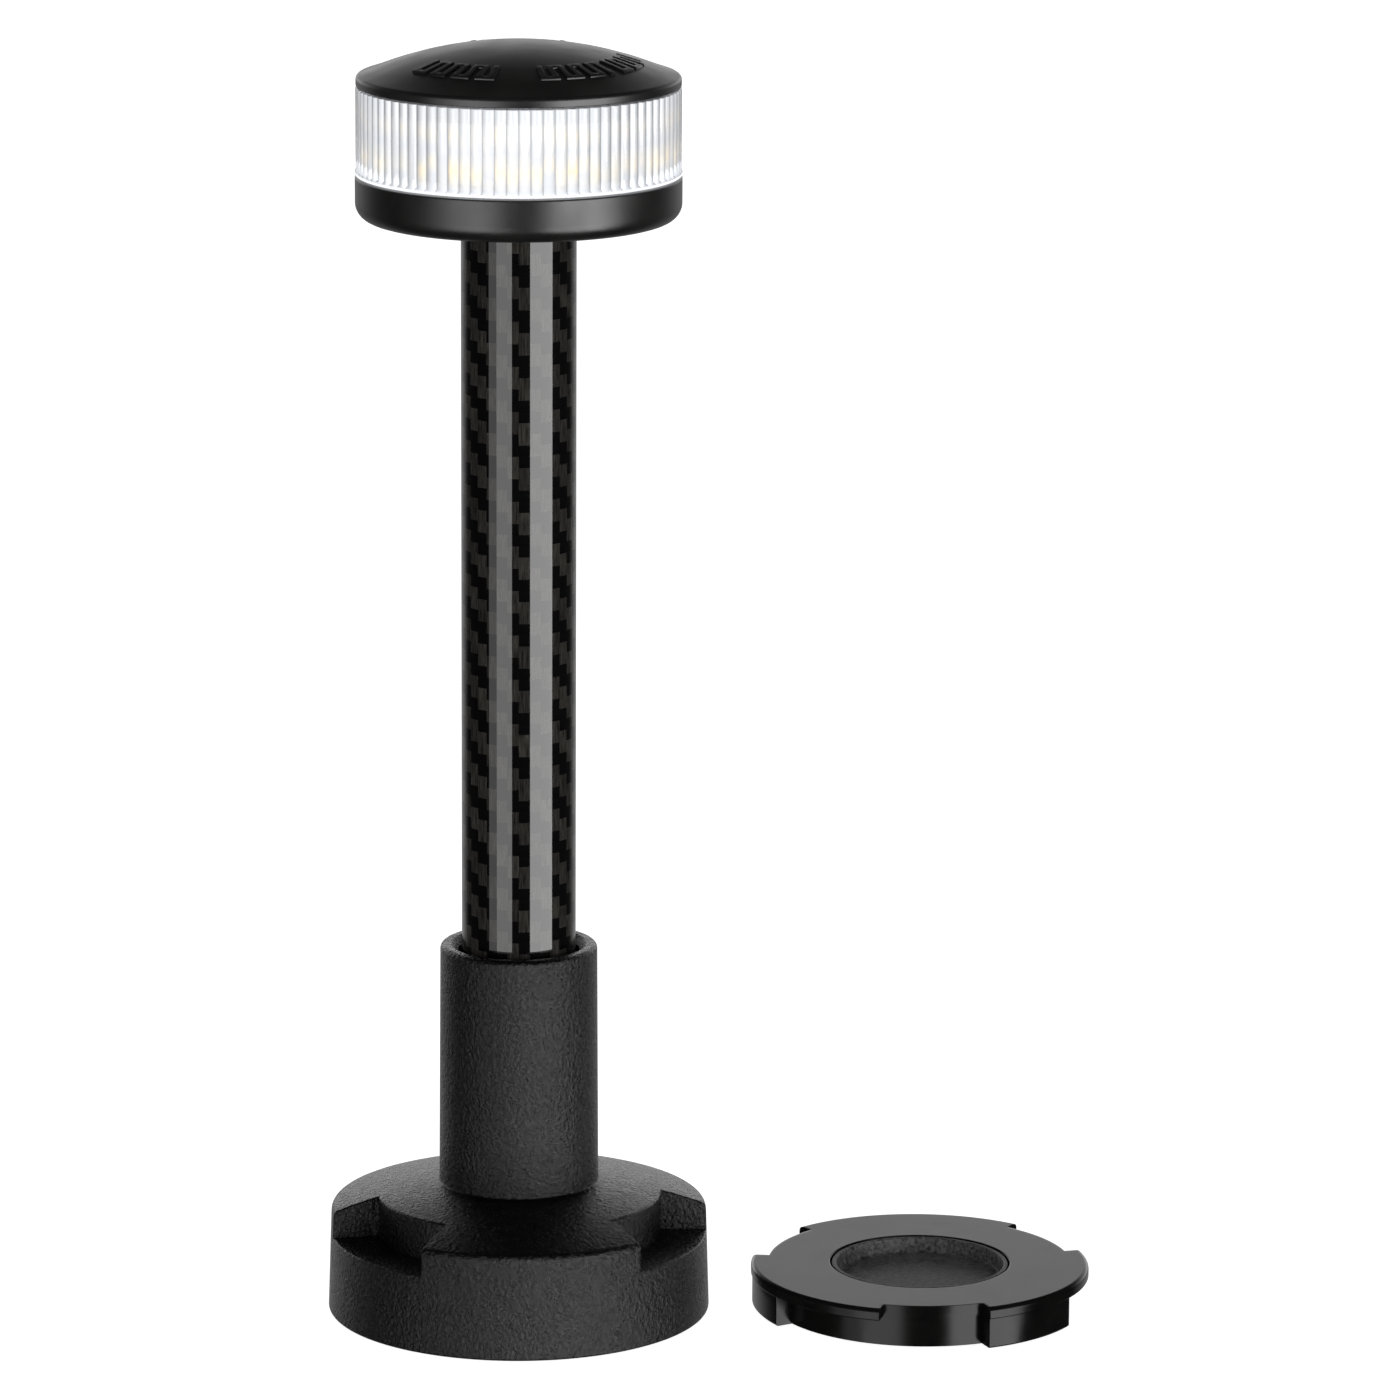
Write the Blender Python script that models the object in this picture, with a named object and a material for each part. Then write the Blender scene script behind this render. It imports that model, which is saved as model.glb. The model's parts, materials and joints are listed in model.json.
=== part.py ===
"""A battery all-round white navigation light: a lens head on a carbon pole, the twist-lock foot that the
pole stands in, and the deck plate that the foot locks onto, lying beside it.

Lengths are in millimetres and angles in degrees; place() and the mesh helpers turn them into metres and
radians. Heights are above the surface that the foot stands on. Seen from above, 0 degrees is +X and 90 degrees is +Y.
"""

import math

import bmesh
import bpy
from mathutils import Matrix, Vector

MM = 0.001
GAP = 0.3  # kept between pieces that rest on each other
SEAL_WIRE = 0.7  # radius of the O-rings' section

# Cells, and the pole that is drawn over them
CELL_RADIUS = 7.2
CELL_LENGTH = 50.5
CELL_COUNT = 3
NUB_RADIUS = 2.75
NUB_HEIGHT = 1.0
SLEEVE_WALL = 0.6
STRIP_THICK = 0.4
STRIP_WIDTH = 3.0
STRIP_GAP = 0.25
POLE_WALL = 1.0

# Deck plate, which the foot is made to fit over
PLATE_RADIUS = 30.0
PLATE_HEIGHT = 7.75
PLATE_EDGE = 0.8
PLATE_FLANGE = 2.1
PLATE_OVERHANG = 3.5  # from the hub's wall to the flange's edge
CUTOUT_BEARING = 32.4
CUTOUT_WIDTH = 38.0
CUTOUT_LIP = 0.4
LEG_WIDTH = 38.0
LEG_INSET = 0.25
INSERT_RADIUS = 15.65
INSERT_RIM = 1.35
INSERT_DEPTH = 2.7
INSERT_THICK = 1.85
PAD_INSET = 2.5
PAD_THICK = 0.8
PLATE_APART = 7.45  # from the foot, where the plate lies

# Foot and its column
FOOT_WALL = 3.25
FOOT_RIM = 19.1
FOOT_DRAFT = 1.8
FOOT_EDGE = 1.3
DOME_RADIUS = 98.0
COLUMN_TOP = 66.3
COLUMN_WALL = 1.7
COLUMN_FLARE = 0.25
COLUMN_EDGE = 1.0
MOUTH_GAP = 0.7
MOUTH_DEPTH = 7.0
MOUTH_LEAD_IN = 1.2
SEAT_RING = 2.0
LINER_WALL = 1.5
LINER_FLANGE = 2.0
LINER_LEDGE = 0.7
DECK_SEAL_WIDTH = 1.6
NOTCH_BEARING = 94.5
NOTCH_WIDTH = 49.0
NOTCH_DEPTH = 8.55
NOTCH_FLOOR = 14.0
CLAW_WIDTH = 30.0
CLAW_LOW = 1.5
LOCK_GAP = 0.5  # round the plate, where the foot turns on it
LOCK_PLAY = 0.45  # over and under its flange
NOSE_GAP = 0.4  # between the liner's nose and the insert's dish
SCREW_RADIUS = 1.5
SCREW_HEAD = 1.25
SCREW_CONE = 1.4
SCREW_LENGTH = 8.5

# Head
HEAD_RADIUS = 28.17
HOUSING_HEIGHT = 7.9
HOUSING_WALL = 2.2
HOUSING_EDGE = 3.0
LENS_HEIGHT = 15.0
LENS_WALL = 2.57
CAP_INSET = 0.2
CAP_SKIRT = 2.1
CAP_RISE = 5.6
CAP_WALL = 2.2
CAP_EDGE = 0.97
SPIGOT_DEPTH = 3.0
SPIGOT_WALL = 2.8
FERRULE_LENGTH = 9.35
FERRULE_FLANGE = 0.95
FERRULE_WALL = 2.1
STEM_GAP = 0.4
CLIP_DEPTH = 1.2
CLIP_REACH = 1.7
BOLT_RADIUS = 1.5
BOLT_HEAD = 2.6
BOLT_HEAD_HIGH = 2.0
LED_COUNT = 8
LED_SIZE = 3.4
LED_THICK = 0.8
CORE_APOTHEM = 6.5
BOARD_THICK = 1.2

# Tail plug
PLUG_THREAD = 9.2
PLUG_HEAD = 1.7
CONTACT_THICK = 0.6
SPRING_WIRE = 0.3
SPRING_HEIGHT = 3.7
SPRING_TURNS = 3

# Worked out from the sizes above: radii
sleeve_inner = CELL_RADIUS + GAP
sleeve_outer = sleeve_inner + SLEEVE_WALL
strip_inner = sleeve_outer + STRIP_GAP
strip_outer = strip_inner + STRIP_THICK
pole_inner = strip_outer + STRIP_GAP
pole_radius = pole_inner + POLE_WALL
liner_inner = pole_radius + GAP
liner_outer = liner_inner + LINER_WALL
mouth_radius = pole_radius + MOUTH_GAP
bore_radius = liner_outer + GAP
column_radius = bore_radius + COLUMN_WALL
drain_radius = pole_inner - 0.2
plug_radius = sleeve_inner - 0.2
seal_reach = 2 * SEAL_WIRE + GAP
hub_radius = PLATE_RADIUS - PLATE_OVERHANG
cutout_inner = hub_radius + CUTOUT_LIP
pad_radius = hub_radius - PAD_INSET
cup_radius = PLATE_RADIUS + LOCK_GAP
foot_radius = cup_radius + FOOT_WALL
claw_inner = cutout_inner + LOCK_GAP
ferrule_outer = pole_inner - GAP
ferrule_inner = ferrule_outer - FERRULE_WALL
stem_radius = ferrule_inner - STEM_GAP
cap_radius = HEAD_RADIUS - CAP_INSET
lens_inner = HEAD_RADIUS - LENS_WALL
rim_inner = HEAD_RADIUS - HOUSING_WALL
spigot_outer = rim_inner - GAP
spigot_inner = spigot_outer - SPIGOT_WALL
cap_plug_outer = lens_inner - GAP
cap_plug_inner = cap_plug_outer - SPIGOT_WALL
insert_floor_radius = INSERT_RADIUS - INSERT_RIM
nose_radius = insert_floor_radius - NOSE_GAP
screw_head = SCREW_RADIUS + SCREW_HEAD
screw_circle = nose_radius + screw_head + GAP + 0.05
liner_flange = screw_circle + screw_head + 0.75

# Worked out from the sizes above: heights, from the deck up
plate_low = GAP
flange_low = PLATE_HEIGHT - PLATE_FLANGE
claw_high = flange_low - LOCK_PLAY
cup_ceiling = PLATE_HEIGHT + LOCK_PLAY
insert_floor = PLATE_HEIGHT - INSERT_DEPTH
nose_low = insert_floor + NOSE_GAP
liner_flange_low = cup_ceiling + 0.8
liner_flange_high = liner_flange_low + LINER_FLANGE
ledge_high = liner_flange_high + LINER_LEDGE
pole_low = ledge_high + GAP
plug_head_high = ledge_high
plug_high = pole_low + PLUG_THREAD
tail_ferrule_high = plug_high + 1.1
contact_low = plug_high + GAP
spring_low = contact_low + CONTACT_THICK + GAP
cells_low = spring_low + SPRING_HEIGHT + GAP
cells_high = cells_low + CELL_COUNT * CELL_LENGTH + (CELL_COUNT - 1) * GAP
rivet_low = cells_high + GAP
disc_low = rivet_low + CONTACT_THICK + GAP
disc_high = disc_low + 1.0
rivet_high = disc_high + GAP + 0.5
wiper_low = rivet_high + GAP
stem_low = wiper_low + 0.5 + GAP
clip_low = stem_low + 0.6
clip_high = clip_low + 0.8
ferrule_low = clip_high + GAP
pole_high = ferrule_low + FERRULE_LENGTH - GAP
flange_high = ferrule_low + FERRULE_LENGTH + FERRULE_FLANGE
housing_low = flange_high + GAP
housing_floor = housing_low + HOUSING_WALL
lens_low = housing_low + HOUSING_HEIGHT
lens_high = lens_low + LENS_HEIGHT
skirt_high = lens_high + CAP_SKIRT
cap_apex = skirt_high + CAP_RISE
board_low = housing_floor + 1.8
board_high = board_low + BOARD_THICK
core_low = board_high + GAP
core_high = lens_high - 4.4
led_middle = lens_low + 4.3
seat_ring_high = COLUMN_TOP - MOUTH_DEPTH - GAP
seat_ring_low = seat_ring_high - SEAT_RING

# The two items share one frame, whose origin is the middle of their footprint
plate_distance = foot_radius + PLATE_APART + PLATE_RADIUS
lamp_x = -(plate_distance + PLATE_RADIUS - foot_radius) / 2
plate_x = lamp_x + plate_distance
THIRDS = (0, 120, 240)


def clear_scene():
    for old in list(bpy.data.objects):
        bpy.data.objects.remove(old, do_unlink=True)


def finish(name, colour, roughness, metallic=0.0, transmission=0.0):
    """A Principled material; the colour is linear RGB."""
    made = bpy.data.materials.new(name)
    made.use_nodes = True
    shader = made.node_tree.nodes["Principled BSDF"]
    shader.inputs["Base Color"].default_value = (*colour, 1)
    shader.inputs["Roughness"].default_value = roughness
    shader.inputs["Metallic"].default_value = metallic
    shader.inputs["Transmission Weight"].default_value = transmission
    made.diffuse_color = (*colour, 1)
    return made


def place(name, x, parent=None):
    """An empty on a vertical axis, which the pieces of one body hang from."""
    empty = bpy.data.objects.new(name, None)
    empty.location.x = x * MM
    empty.parent = parent
    bpy.context.scene.collection.objects.link(empty)
    return empty


def made_object(name, bm, material, parent):
    bmesh.ops.recalc_face_normals(bm, faces=bm.faces)
    mesh = bpy.data.meshes.new(name)
    bm.to_mesh(mesh)
    bm.free()
    mesh.transform(Matrix.Scale(MM, 4))
    mesh.shade_smooth()
    mesh.set_sharp_from_angle(angle=math.radians(30))
    if material:
        mesh.materials.append(material)
    made = bpy.data.objects.new(name, mesh)
    made.parent = parent
    bpy.context.scene.collection.objects.link(made)
    return made


def rounded(corners, steps=2):
    """The outline with each corner that has a third number, its fillet radius, turned into an arc."""
    points = []
    for index, corner in enumerate(corners):
        here = Vector(corner[:2])
        if len(corner) == 2:
            points.append(here)
            continue
        back = (Vector(corners[index - 1][:2]) - here).normalized()
        ahead = (Vector(corners[(index + 1) % len(corners)][:2]) - here).normalized()
        half = back.angle(ahead) / 2
        centre = here + (back + ahead).normalized() * corner[2] / math.sin(half)
        first = here + back * corner[2] / math.tan(half) - centre
        last = here + ahead * corner[2] / math.tan(half) - centre
        sweep = first.angle_signed(last)
        for step in range(steps + 1):
            points.append(centre + Matrix.Rotation(-sweep * step / steps, 2) @ first)
    return points


def dome(start, end, radius, crown, steps):
    """Points of a dome with its crown at this height, from one distance off the axis to another."""
    points = []
    for step in range(steps + 1):
        r = start + (end - start) * step / steps
        points.append((r, crown - radius + math.sqrt(radius**2 - r**2)))
    return points


def turned(name, outline, material, parent, sides=32):
    """A solid of revolution about the parent's axis, from (distance off the axis, height) points."""
    bm = bmesh.new()
    verts = [bm.verts.new((r, 0, z)) for r, z in outline]
    ring = all(r > 0 for r, z in outline)
    ahead = verts[1:] + verts[:1] if ring else verts[1:]
    edges = [bm.edges.new(pair) for pair in zip(verts, ahead)]
    centre, up = (0, 0, 0), (0, 0, 1)
    bmesh.ops.spin(bm, geom=verts + edges, axis=up, cent=centre, angle=math.tau, steps=sides, use_merge=True)
    bmesh.ops.remove_doubles(bm, verts=bm.verts, dist=1e-4)
    return made_object(name, bm, material, parent)


def sector(name, inner, outer, low, high, bearing, width, parent, steps=8):
    """A ring's sector, centred on a bearing, as a tool for Booleans."""
    bm = bmesh.new()
    corners = ((inner, low), (outer, low), (outer, high), (inner, high))
    face = bm.faces.new([bm.verts.new((r, 0, z)) for r, z in corners])
    turn = Matrix.Rotation(math.radians(bearing - width / 2), 3, "Z")
    bmesh.ops.rotate(bm, verts=bm.verts, cent=(0, 0, 0), matrix=turn)
    bmesh.ops.spin(
        bm, geom=[face], axis=(0, 0, 1), cent=(0, 0, 0), angle=math.radians(width), steps=steps
    )
    return tool(made_object(name, bm, None, parent))


def rod(name, radius, low, high, across, bearing, parent, sides=16):
    """A vertical rod at a distance off the axis, as a tool for Booleans."""
    made = turned(name, [(0, high), (radius, high), (radius, low), (0, low)], None, parent, sides)
    turn = math.radians(bearing)
    made.location = (across * MM * math.cos(turn), across * MM * math.sin(turn), 0)
    return tool(made)


def block(name, size, centre, material, parent, bearing=0.0):
    """A box, turned about the parent's axis to a bearing."""
    bm = bmesh.new()
    bmesh.ops.create_cube(bm, size=1, matrix=Matrix.LocRotScale(Vector(centre), None, Vector(size)))
    turn = Matrix.Rotation(math.radians(bearing), 3, "Z")
    bmesh.ops.rotate(bm, verts=bm.verts, cent=(0, 0, 0), matrix=turn)
    return made_object(name, bm, material, parent)


def tool(made):
    made.hide_render = True
    made.display_type = "WIRE"
    return made


def boolean(target, operation, *tools):
    for other in tools:
        modifier = target.modifiers.new(f"{operation.lower()} {other.name}", "BOOLEAN")
        modifier.operation = operation
        modifier.object = other
    return target


def seal(name, radius, height, material, parent):
    """An O-ring whose section's middle is at this distance off the axis."""
    section = []
    for step in range(6):
        turn = math.tau * step / 6
        section.append((radius + SEAL_WIRE * math.cos(turn), height - SEAL_WIRE * math.sin(turn)))
    return turned(name, section, material, parent)


def groove(outer, middle, depth=seal_reach):
    """The four outline points of an O-ring's groove, downwards, in a wall of this radius."""
    high, low = middle + SEAL_WIRE + GAP, middle - SEAL_WIRE - GAP
    return [(outer, high), (outer - depth, high), (outer - depth, low), (outer, low)]


def foot_and_column(material, parent):
    """The base moulding: a cup-shaped foot with three finger notches and claws, and the column over it."""
    rim_radius = foot_radius - FOOT_RIM * math.tan(math.radians(FOOT_DRAFT))
    crown = FOOT_RIM + DOME_RADIUS - math.sqrt(DOME_RADIUS**2 - (rim_radius - FOOT_EDGE) ** 2)
    foot_top = dome(column_radius + COLUMN_FLARE, rim_radius, DOME_RADIUS, crown, 5)
    seal_outer, seal_inner = hub_radius + 2 * GAP, hub_radius - DECK_SEAL_WIDTH
    seal_roof = cup_ceiling + DECK_SEAL_WIDTH + 0.1
    outline = rounded(
        [
            (mouth_radius + MOUTH_LEAD_IN, COLUMN_TOP),
            (column_radius, COLUMN_TOP, COLUMN_EDGE),
            foot_top[0],
            *foot_top[1:-1],
            (*foot_top[-1], FOOT_EDGE),
            (foot_radius, 0, 0.5),
            (cup_radius, 0),
            (cup_radius, cup_ceiling),
            (seal_outer, cup_ceiling),
            (seal_outer, seal_roof),
            (seal_inner, seal_roof),
            (seal_inner, cup_ceiling),
            (liner_flange + GAP, cup_ceiling),
            (liner_flange + GAP, liner_flange_high + GAP),
            (bore_radius, liner_flange_high + GAP),
            (bore_radius, COLUMN_TOP - MOUTH_DEPTH),
            (mouth_radius, COLUMN_TOP - MOUTH_DEPTH),
            (mouth_radius, COLUMN_TOP - MOUTH_LEAD_IN),
        ]
    )
    base = turned("base_moulding", outline, material, parent, sides=48)
    past = 5  # how far a notch's tool reaches beyond the foot
    pilot_low, pilot_high = liner_flange_high - 1, liner_flange_low + SCREW_LENGTH + 0.5
    for number, turn in enumerate(THIRDS, 1):
        bearing = NOTCH_BEARING + turn
        notch = sector(
            f"notch_{number}", foot_radius - NOTCH_DEPTH, foot_radius + past, NOTCH_FLOOR, crown + past,
            bearing, NOTCH_WIDTH, parent,
        )
        claw = sector(
            f"claw_{number}", claw_inner, cup_radius + 1, CLAW_LOW, claw_high, bearing, CLAW_WIDTH, parent
        )
        pilot = rod(
            f"pilot_{number}", SCREW_RADIUS + GAP, pilot_low, pilot_high, screw_circle, bearing + 60, parent
        )
        boolean(base, "UNION", claw)
        boolean(base, "DIFFERENCE", notch, pilot)


def socket_liner(nylon, steel, rubber, parent):
    """The liner that the pole stands in, its ring seal at the top and its three countersunk screws."""
    outline = [
        (liner_outer, seat_ring_low - GAP),
        (liner_outer, liner_flange_high),
        (liner_flange, liner_flange_high),
        (liner_flange, liner_flange_low),
        (nose_radius, liner_flange_low),
        (nose_radius, nose_low),
        (drain_radius, nose_low),
        (drain_radius, ledge_high),
        (liner_inner, ledge_high),
        (liner_inner, seat_ring_low - GAP),
    ]
    liner = turned("socket_liner", outline, nylon, parent)
    turned(
        "socket_seal",
        [(liner_outer, seat_ring_high), (liner_outer, seat_ring_low), (liner_inner, seat_ring_low),
         (liner_inner, seat_ring_high)],
        rubber,
        parent,
    )
    high = liner_flange_low + SCREW_LENGTH
    cone_high = liner_flange_low + SCREW_CONE
    socket_radius, socket_depth = 1.3, 0.9
    shank = SCREW_RADIUS + GAP
    head = screw_head + GAP
    for number, turn in enumerate(THIRDS, 1):
        bearing = math.radians(NOTCH_BEARING + 60 + turn)
        spot = (screw_circle * MM * math.cos(bearing), screw_circle * MM * math.sin(bearing), 0)
        screw = turned(
            f"liner_screw_{number}",
            [(0, high), (SCREW_RADIUS, high), (SCREW_RADIUS, cone_high), (screw_head, liner_flange_low),
             (socket_radius, liner_flange_low), (0, liner_flange_low + socket_depth)],
            steel,
            parent,
            sides=16,
        )
        screw.location = spot
        sink = turned(
            f"countersink_{number}",
            [(0, liner_flange_high + 1), (shank, liner_flange_high + 1), (shank, cone_high + 0.1),
             (head, liner_flange_low), (head, liner_flange_low - 1), (0, liner_flange_low - 1)],
            None,
            parent,
            sides=16,
        )
        sink.location = spot
        boolean(liner, "DIFFERENCE", tool(sink))


def deck_seal(rubber, parent):
    """The ring in the cup's ceiling that the plate is pulled up against."""
    outer, inner = hub_radius + GAP, hub_radius - DECK_SEAL_WIDTH + GAP
    high, low = cup_ceiling + 1.4, cup_ceiling - 0.15
    turned("deck_seal", [(outer, high), (outer, low), (inner, low), (inner, high)], rubber, parent, sides=48)


def deck_plate(plastic, grained, foam, parent):
    """The twist-lock plate with its three cut-outs and legs, its centre insert and its adhesive pad."""
    pocket = INSERT_RADIUS + GAP
    pocket_floor = insert_floor - INSERT_THICK - GAP
    outline = rounded(
        [
            (pocket, PLATE_HEIGHT, 0.2),
            (PLATE_RADIUS, PLATE_HEIGHT, PLATE_EDGE),
            (PLATE_RADIUS, flange_low, 0.3),
            (hub_radius, flange_low),
            (hub_radius, plate_low),
            (pad_radius + GAP, plate_low),
            (pad_radius + GAP, PAD_THICK + GAP),
            (0, PAD_THICK + GAP),
            (0, pocket_floor),
            (pocket, pocket_floor),
        ]
    )
    floor = outline.index(Vector((0, pocket_floor)))
    plate = turned("deck_plate", outline[floor:] + outline[:floor], plastic, parent, sides=48)
    past = 5  # how far a cut-out's tool reaches beyond the plate
    for number, turn in enumerate(THIRDS, 1):
        bearing = CUTOUT_BEARING + turn
        cutout = sector(
            f"cutout_{number}", cutout_inner, PLATE_RADIUS + past, -1, PLATE_HEIGHT + 1,
            bearing, CUTOUT_WIDTH, parent,
        )
        leg = sector(
            f"leg_{number}", hub_radius - 1, PLATE_RADIUS - LEG_INSET, plate_low, flange_low + 1,
            bearing + (CUTOUT_WIDTH + LEG_WIDTH) / 2, LEG_WIDTH, parent,
        )
        boolean(plate, "DIFFERENCE", cutout)
        boolean(plate, "UNION", leg)
    rim_high = PLATE_HEIGHT - 0.1
    underside = insert_floor - INSERT_THICK
    insert = rounded(
        [
            (INSERT_RADIUS - 0.75, rim_high, 0.3),
            (INSERT_RADIUS, rim_high, 0.3),
            (INSERT_RADIUS, underside),
            (0, underside),
            (0, insert_floor),
            (insert_floor_radius, insert_floor),
        ]
    )
    top = insert.index(Vector((0, insert_floor)))
    turned("centre_insert", insert[top:] + insert[:top], grained, parent, sides=48)
    pad = [(0, PAD_THICK), (pad_radius, PAD_THICK), (pad_radius, 0), (0, 0)]
    turned("adhesive_pad", pad, foam, parent)


def pole(carbon, aluminium, parent):
    """The carbon tube and the two metal ferrules bonded into its ends."""
    turned(
        "carbon_tube",
        [(pole_radius, pole_high), (pole_radius, pole_low), (pole_inner, pole_low), (pole_inner, pole_high)],
        carbon,
        parent,
        sides=48,
    )
    turned(
        "top_ferrule",
        [(pole_radius, flange_high), (pole_radius, pole_high + GAP), (ferrule_outer, pole_high + GAP),
         (ferrule_outer, ferrule_low), (ferrule_inner, ferrule_low), (ferrule_inner, flange_high)],
        aluminium,
        parent,
    )
    turned(
        "tail_ferrule",
        [(ferrule_outer, tail_ferrule_high), (ferrule_outer, pole_low), (plug_radius + GAP, pole_low),
         (plug_radius + GAP, tail_ferrule_high)],
        aluminium,
        parent,
    )


def power_pack(finishes, parent):
    """The cells in their sleeve, the strip that brings the current back, and the contact over the cells."""
    low, high = tail_ferrule_high + GAP, ferrule_low - GAP
    sleeve_high = disc_low - GAP
    turned(
        "cell_sleeve",
        [(sleeve_outer, sleeve_high), (sleeve_outer, low), (sleeve_inner, low), (sleeve_inner, sleeve_high)],
        finishes["white plastic"],
        parent,
    )
    block(
        "return_strip",
        (STRIP_THICK, STRIP_WIDTH, high - low),
        ((strip_inner + strip_outer) / 2, 0, (high + low) / 2),
        finishes["brass"],
        parent,
    )
    for number in range(CELL_COUNT):
        bottom = cells_low + number * (CELL_LENGTH + GAP)
        top = bottom + CELL_LENGTH
        turned(
            f"cell_{number + 1}",
            [(0, top), (NUB_RADIUS, top), (NUB_RADIUS, top - NUB_HEIGHT), (CELL_RADIUS, top - NUB_HEIGHT),
             (CELL_RADIUS, bottom), (0, bottom)],
            finishes["cell jacket"],
            parent,
            sides=24,
        )
    shank, hole, head, upset = 1.3, 1.6, 3.0, 2.6  # of the rivet that goes through the disc
    turned(
        "contact_disc",
        [(sleeve_outer, disc_high), (sleeve_outer, disc_low), (hole, disc_low), (hole, disc_high)],
        finishes["board"],
        parent,
        sides=24,
    )
    turned(
        "centre_contact",
        [(0, rivet_high), (head, rivet_high), (head, disc_high + GAP), (shank, disc_high + GAP),
         (shank, disc_low - GAP), (upset, disc_low - GAP), (upset, rivet_low), (0, rivet_low)],
        finishes["brass"],
        parent,
        sides=24,
    )


def tail_plug(aluminium, rubber, parent):
    """The screw plug that closes the pole, with a coin slot in its face and an O-ring under its head."""
    head_low = plug_head_high - PLUG_HEAD
    ring_height = pole_low + 0.1 + SEAL_WIRE + GAP
    outline = [
        (0, plug_high),
        (plug_radius, plug_high),
        *groove(plug_radius, ring_height),
        (plug_radius, plug_head_high),
        (drain_radius - GAP, plug_head_high),
        (drain_radius - GAP, head_low),
        (0, head_low),
    ]
    plug = turned("tail_plug", outline, aluminium, parent)
    slot = tool(block("coin_slot", (1.4 * drain_radius, 1.8, 2.0), (0, 0, head_low), None, parent))
    boolean(plug, "DIFFERENCE", slot)
    seal("plug_seal", plug_radius - SEAL_WIRE, ring_height, rubber, parent)


def tail_spring(steel, brass, parent):
    """The conical spring that presses the cells together, and the contact plate that it stands on."""
    reach, contact_high = CELL_RADIUS - 1.2, contact_low + CONTACT_THICK
    turned(
        "spring_plate",
        [(0, contact_high), (reach, contact_high), (reach, contact_low), (0, contact_low)],
        brass,
        parent,
        sides=24,
    )
    curve = bpy.data.curves.new("tail_spring", "CURVE")
    curve.dimensions = "3D"
    curve.bevel_depth = SPRING_WIRE * MM
    curve.bevel_resolution = 1
    curve.use_fill_caps = True
    wide, narrow = CELL_RADIUS - 2.0, 2.8
    points_per_turn = 14
    count = SPRING_TURNS * points_per_turn
    path = curve.splines.new("POLY")
    path.points.add(count)
    for index, point in enumerate(path.points):
        share = index / count
        turn = math.tau * SPRING_TURNS * share
        radius = wide + (narrow - wide) * share
        height = spring_low + SPRING_WIRE + (SPRING_HEIGHT - 2 * SPRING_WIRE) * share
        point.co = (radius * MM * math.cos(turn), radius * MM * math.sin(turn), height * MM, 1)
    curve.materials.append(steel)
    spring = bpy.data.objects.new("tail_spring", curve)
    spring.parent = parent
    bpy.context.scene.collection.objects.link(spring)


def head_shell(plastic, clear, rubber, parent):
    """Housing with its stem, lens and cap, and the O-rings between them."""
    ring_height = ferrule_low + 0.55 * FERRULE_LENGTH
    bolt_hole = BOLT_RADIUS + GAP
    head_pocket = BOLT_HEAD + GAP
    pocket_high = stem_low + BOLT_HEAD_HIGH + GAP
    post = 5.5
    outline = rounded(
        [
            (HEAD_RADIUS, lens_low - GAP, 0.3),
            (HEAD_RADIUS, housing_low, HOUSING_EDGE),
            (stem_radius, housing_low),
            *groove(stem_radius, ring_height),
            (stem_radius, clip_high + 0.1),
            (stem_radius - CLIP_DEPTH, clip_high + 0.1),
            (stem_radius - CLIP_DEPTH, clip_low - 0.1),
            (stem_radius, clip_low - 0.1),
            (stem_radius, stem_low),
            (head_pocket, stem_low),
            (head_pocket, pocket_high),
            (bolt_hole, pocket_high),
            (bolt_hole, board_low - GAP),
            (post, board_low - GAP),
            (post, housing_floor, 1.0),
            (rim_inner - 0.8, housing_floor, 2.0),
            (rim_inner, lens_low - SPIGOT_DEPTH - 0.6),
            (rim_inner, lens_low - GAP),
        ]
    )
    turned("head_housing", outline, plastic, parent, sides=40)
    seal("stem_seal", stem_radius - SEAL_WIRE, ring_height, rubber, parent)

    spigot_low = lens_low - SPIGOT_DEPTH
    ring_height = lens_low - GAP - SEAL_WIRE - GAP - 0.2
    turned(
        "lens",
        [
            (HEAD_RADIUS, lens_high),
            (HEAD_RADIUS, lens_low),
            (spigot_outer, lens_low),
            *groove(spigot_outer, ring_height),
            (spigot_outer, spigot_low),
            (spigot_inner, spigot_low),
            (spigot_inner, lens_low + 1.0),
            (lens_inner, lens_low + 1.6),
            (lens_inner, lens_high),
        ],
        clear,
        parent,
        sides=48,
    )
    seal("lower_seal", spigot_outer - SEAL_WIRE, ring_height, rubber, parent)

    cap_low = lens_high + GAP
    ring_height = lens_high - SEAL_WIRE - GAP - 0.4
    dome_edge = cap_radius - CAP_EDGE
    chamfer = 0.25
    radius = (dome_edge**2 + CAP_RISE**2) / (2 * CAP_RISE)
    outside = dome(0, dome_edge, radius, cap_apex, 6)
    inside = dome(cap_plug_inner, 6.0, radius - CAP_WALL, cap_apex - CAP_WALL, 3)
    boss = 4.0
    boss_low = core_high + 3.6
    hole_high = cap_apex - CAP_WALL - 1.0
    outline = [
        *outside,
        (cap_radius - chamfer, skirt_high),
        (cap_radius, skirt_high - chamfer),
        (cap_radius, cap_low),
        (cap_plug_outer, cap_low),
        *groove(cap_plug_outer, ring_height),
        (cap_plug_outer, lens_high - SPIGOT_DEPTH),
        (cap_plug_inner, lens_high - SPIGOT_DEPTH),
        *inside,
        (boss, cap_apex - CAP_WALL - 1.2),
        (boss, boss_low),
        (bolt_hole, boss_low),
        (bolt_hole, hole_high),
        (0, hole_high),
    ]
    turned("top_cap", outline, plastic, parent, sides=40)
    seal("upper_seal", cap_plug_outer - SEAL_WIRE, ring_height, rubber, parent)


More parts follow.
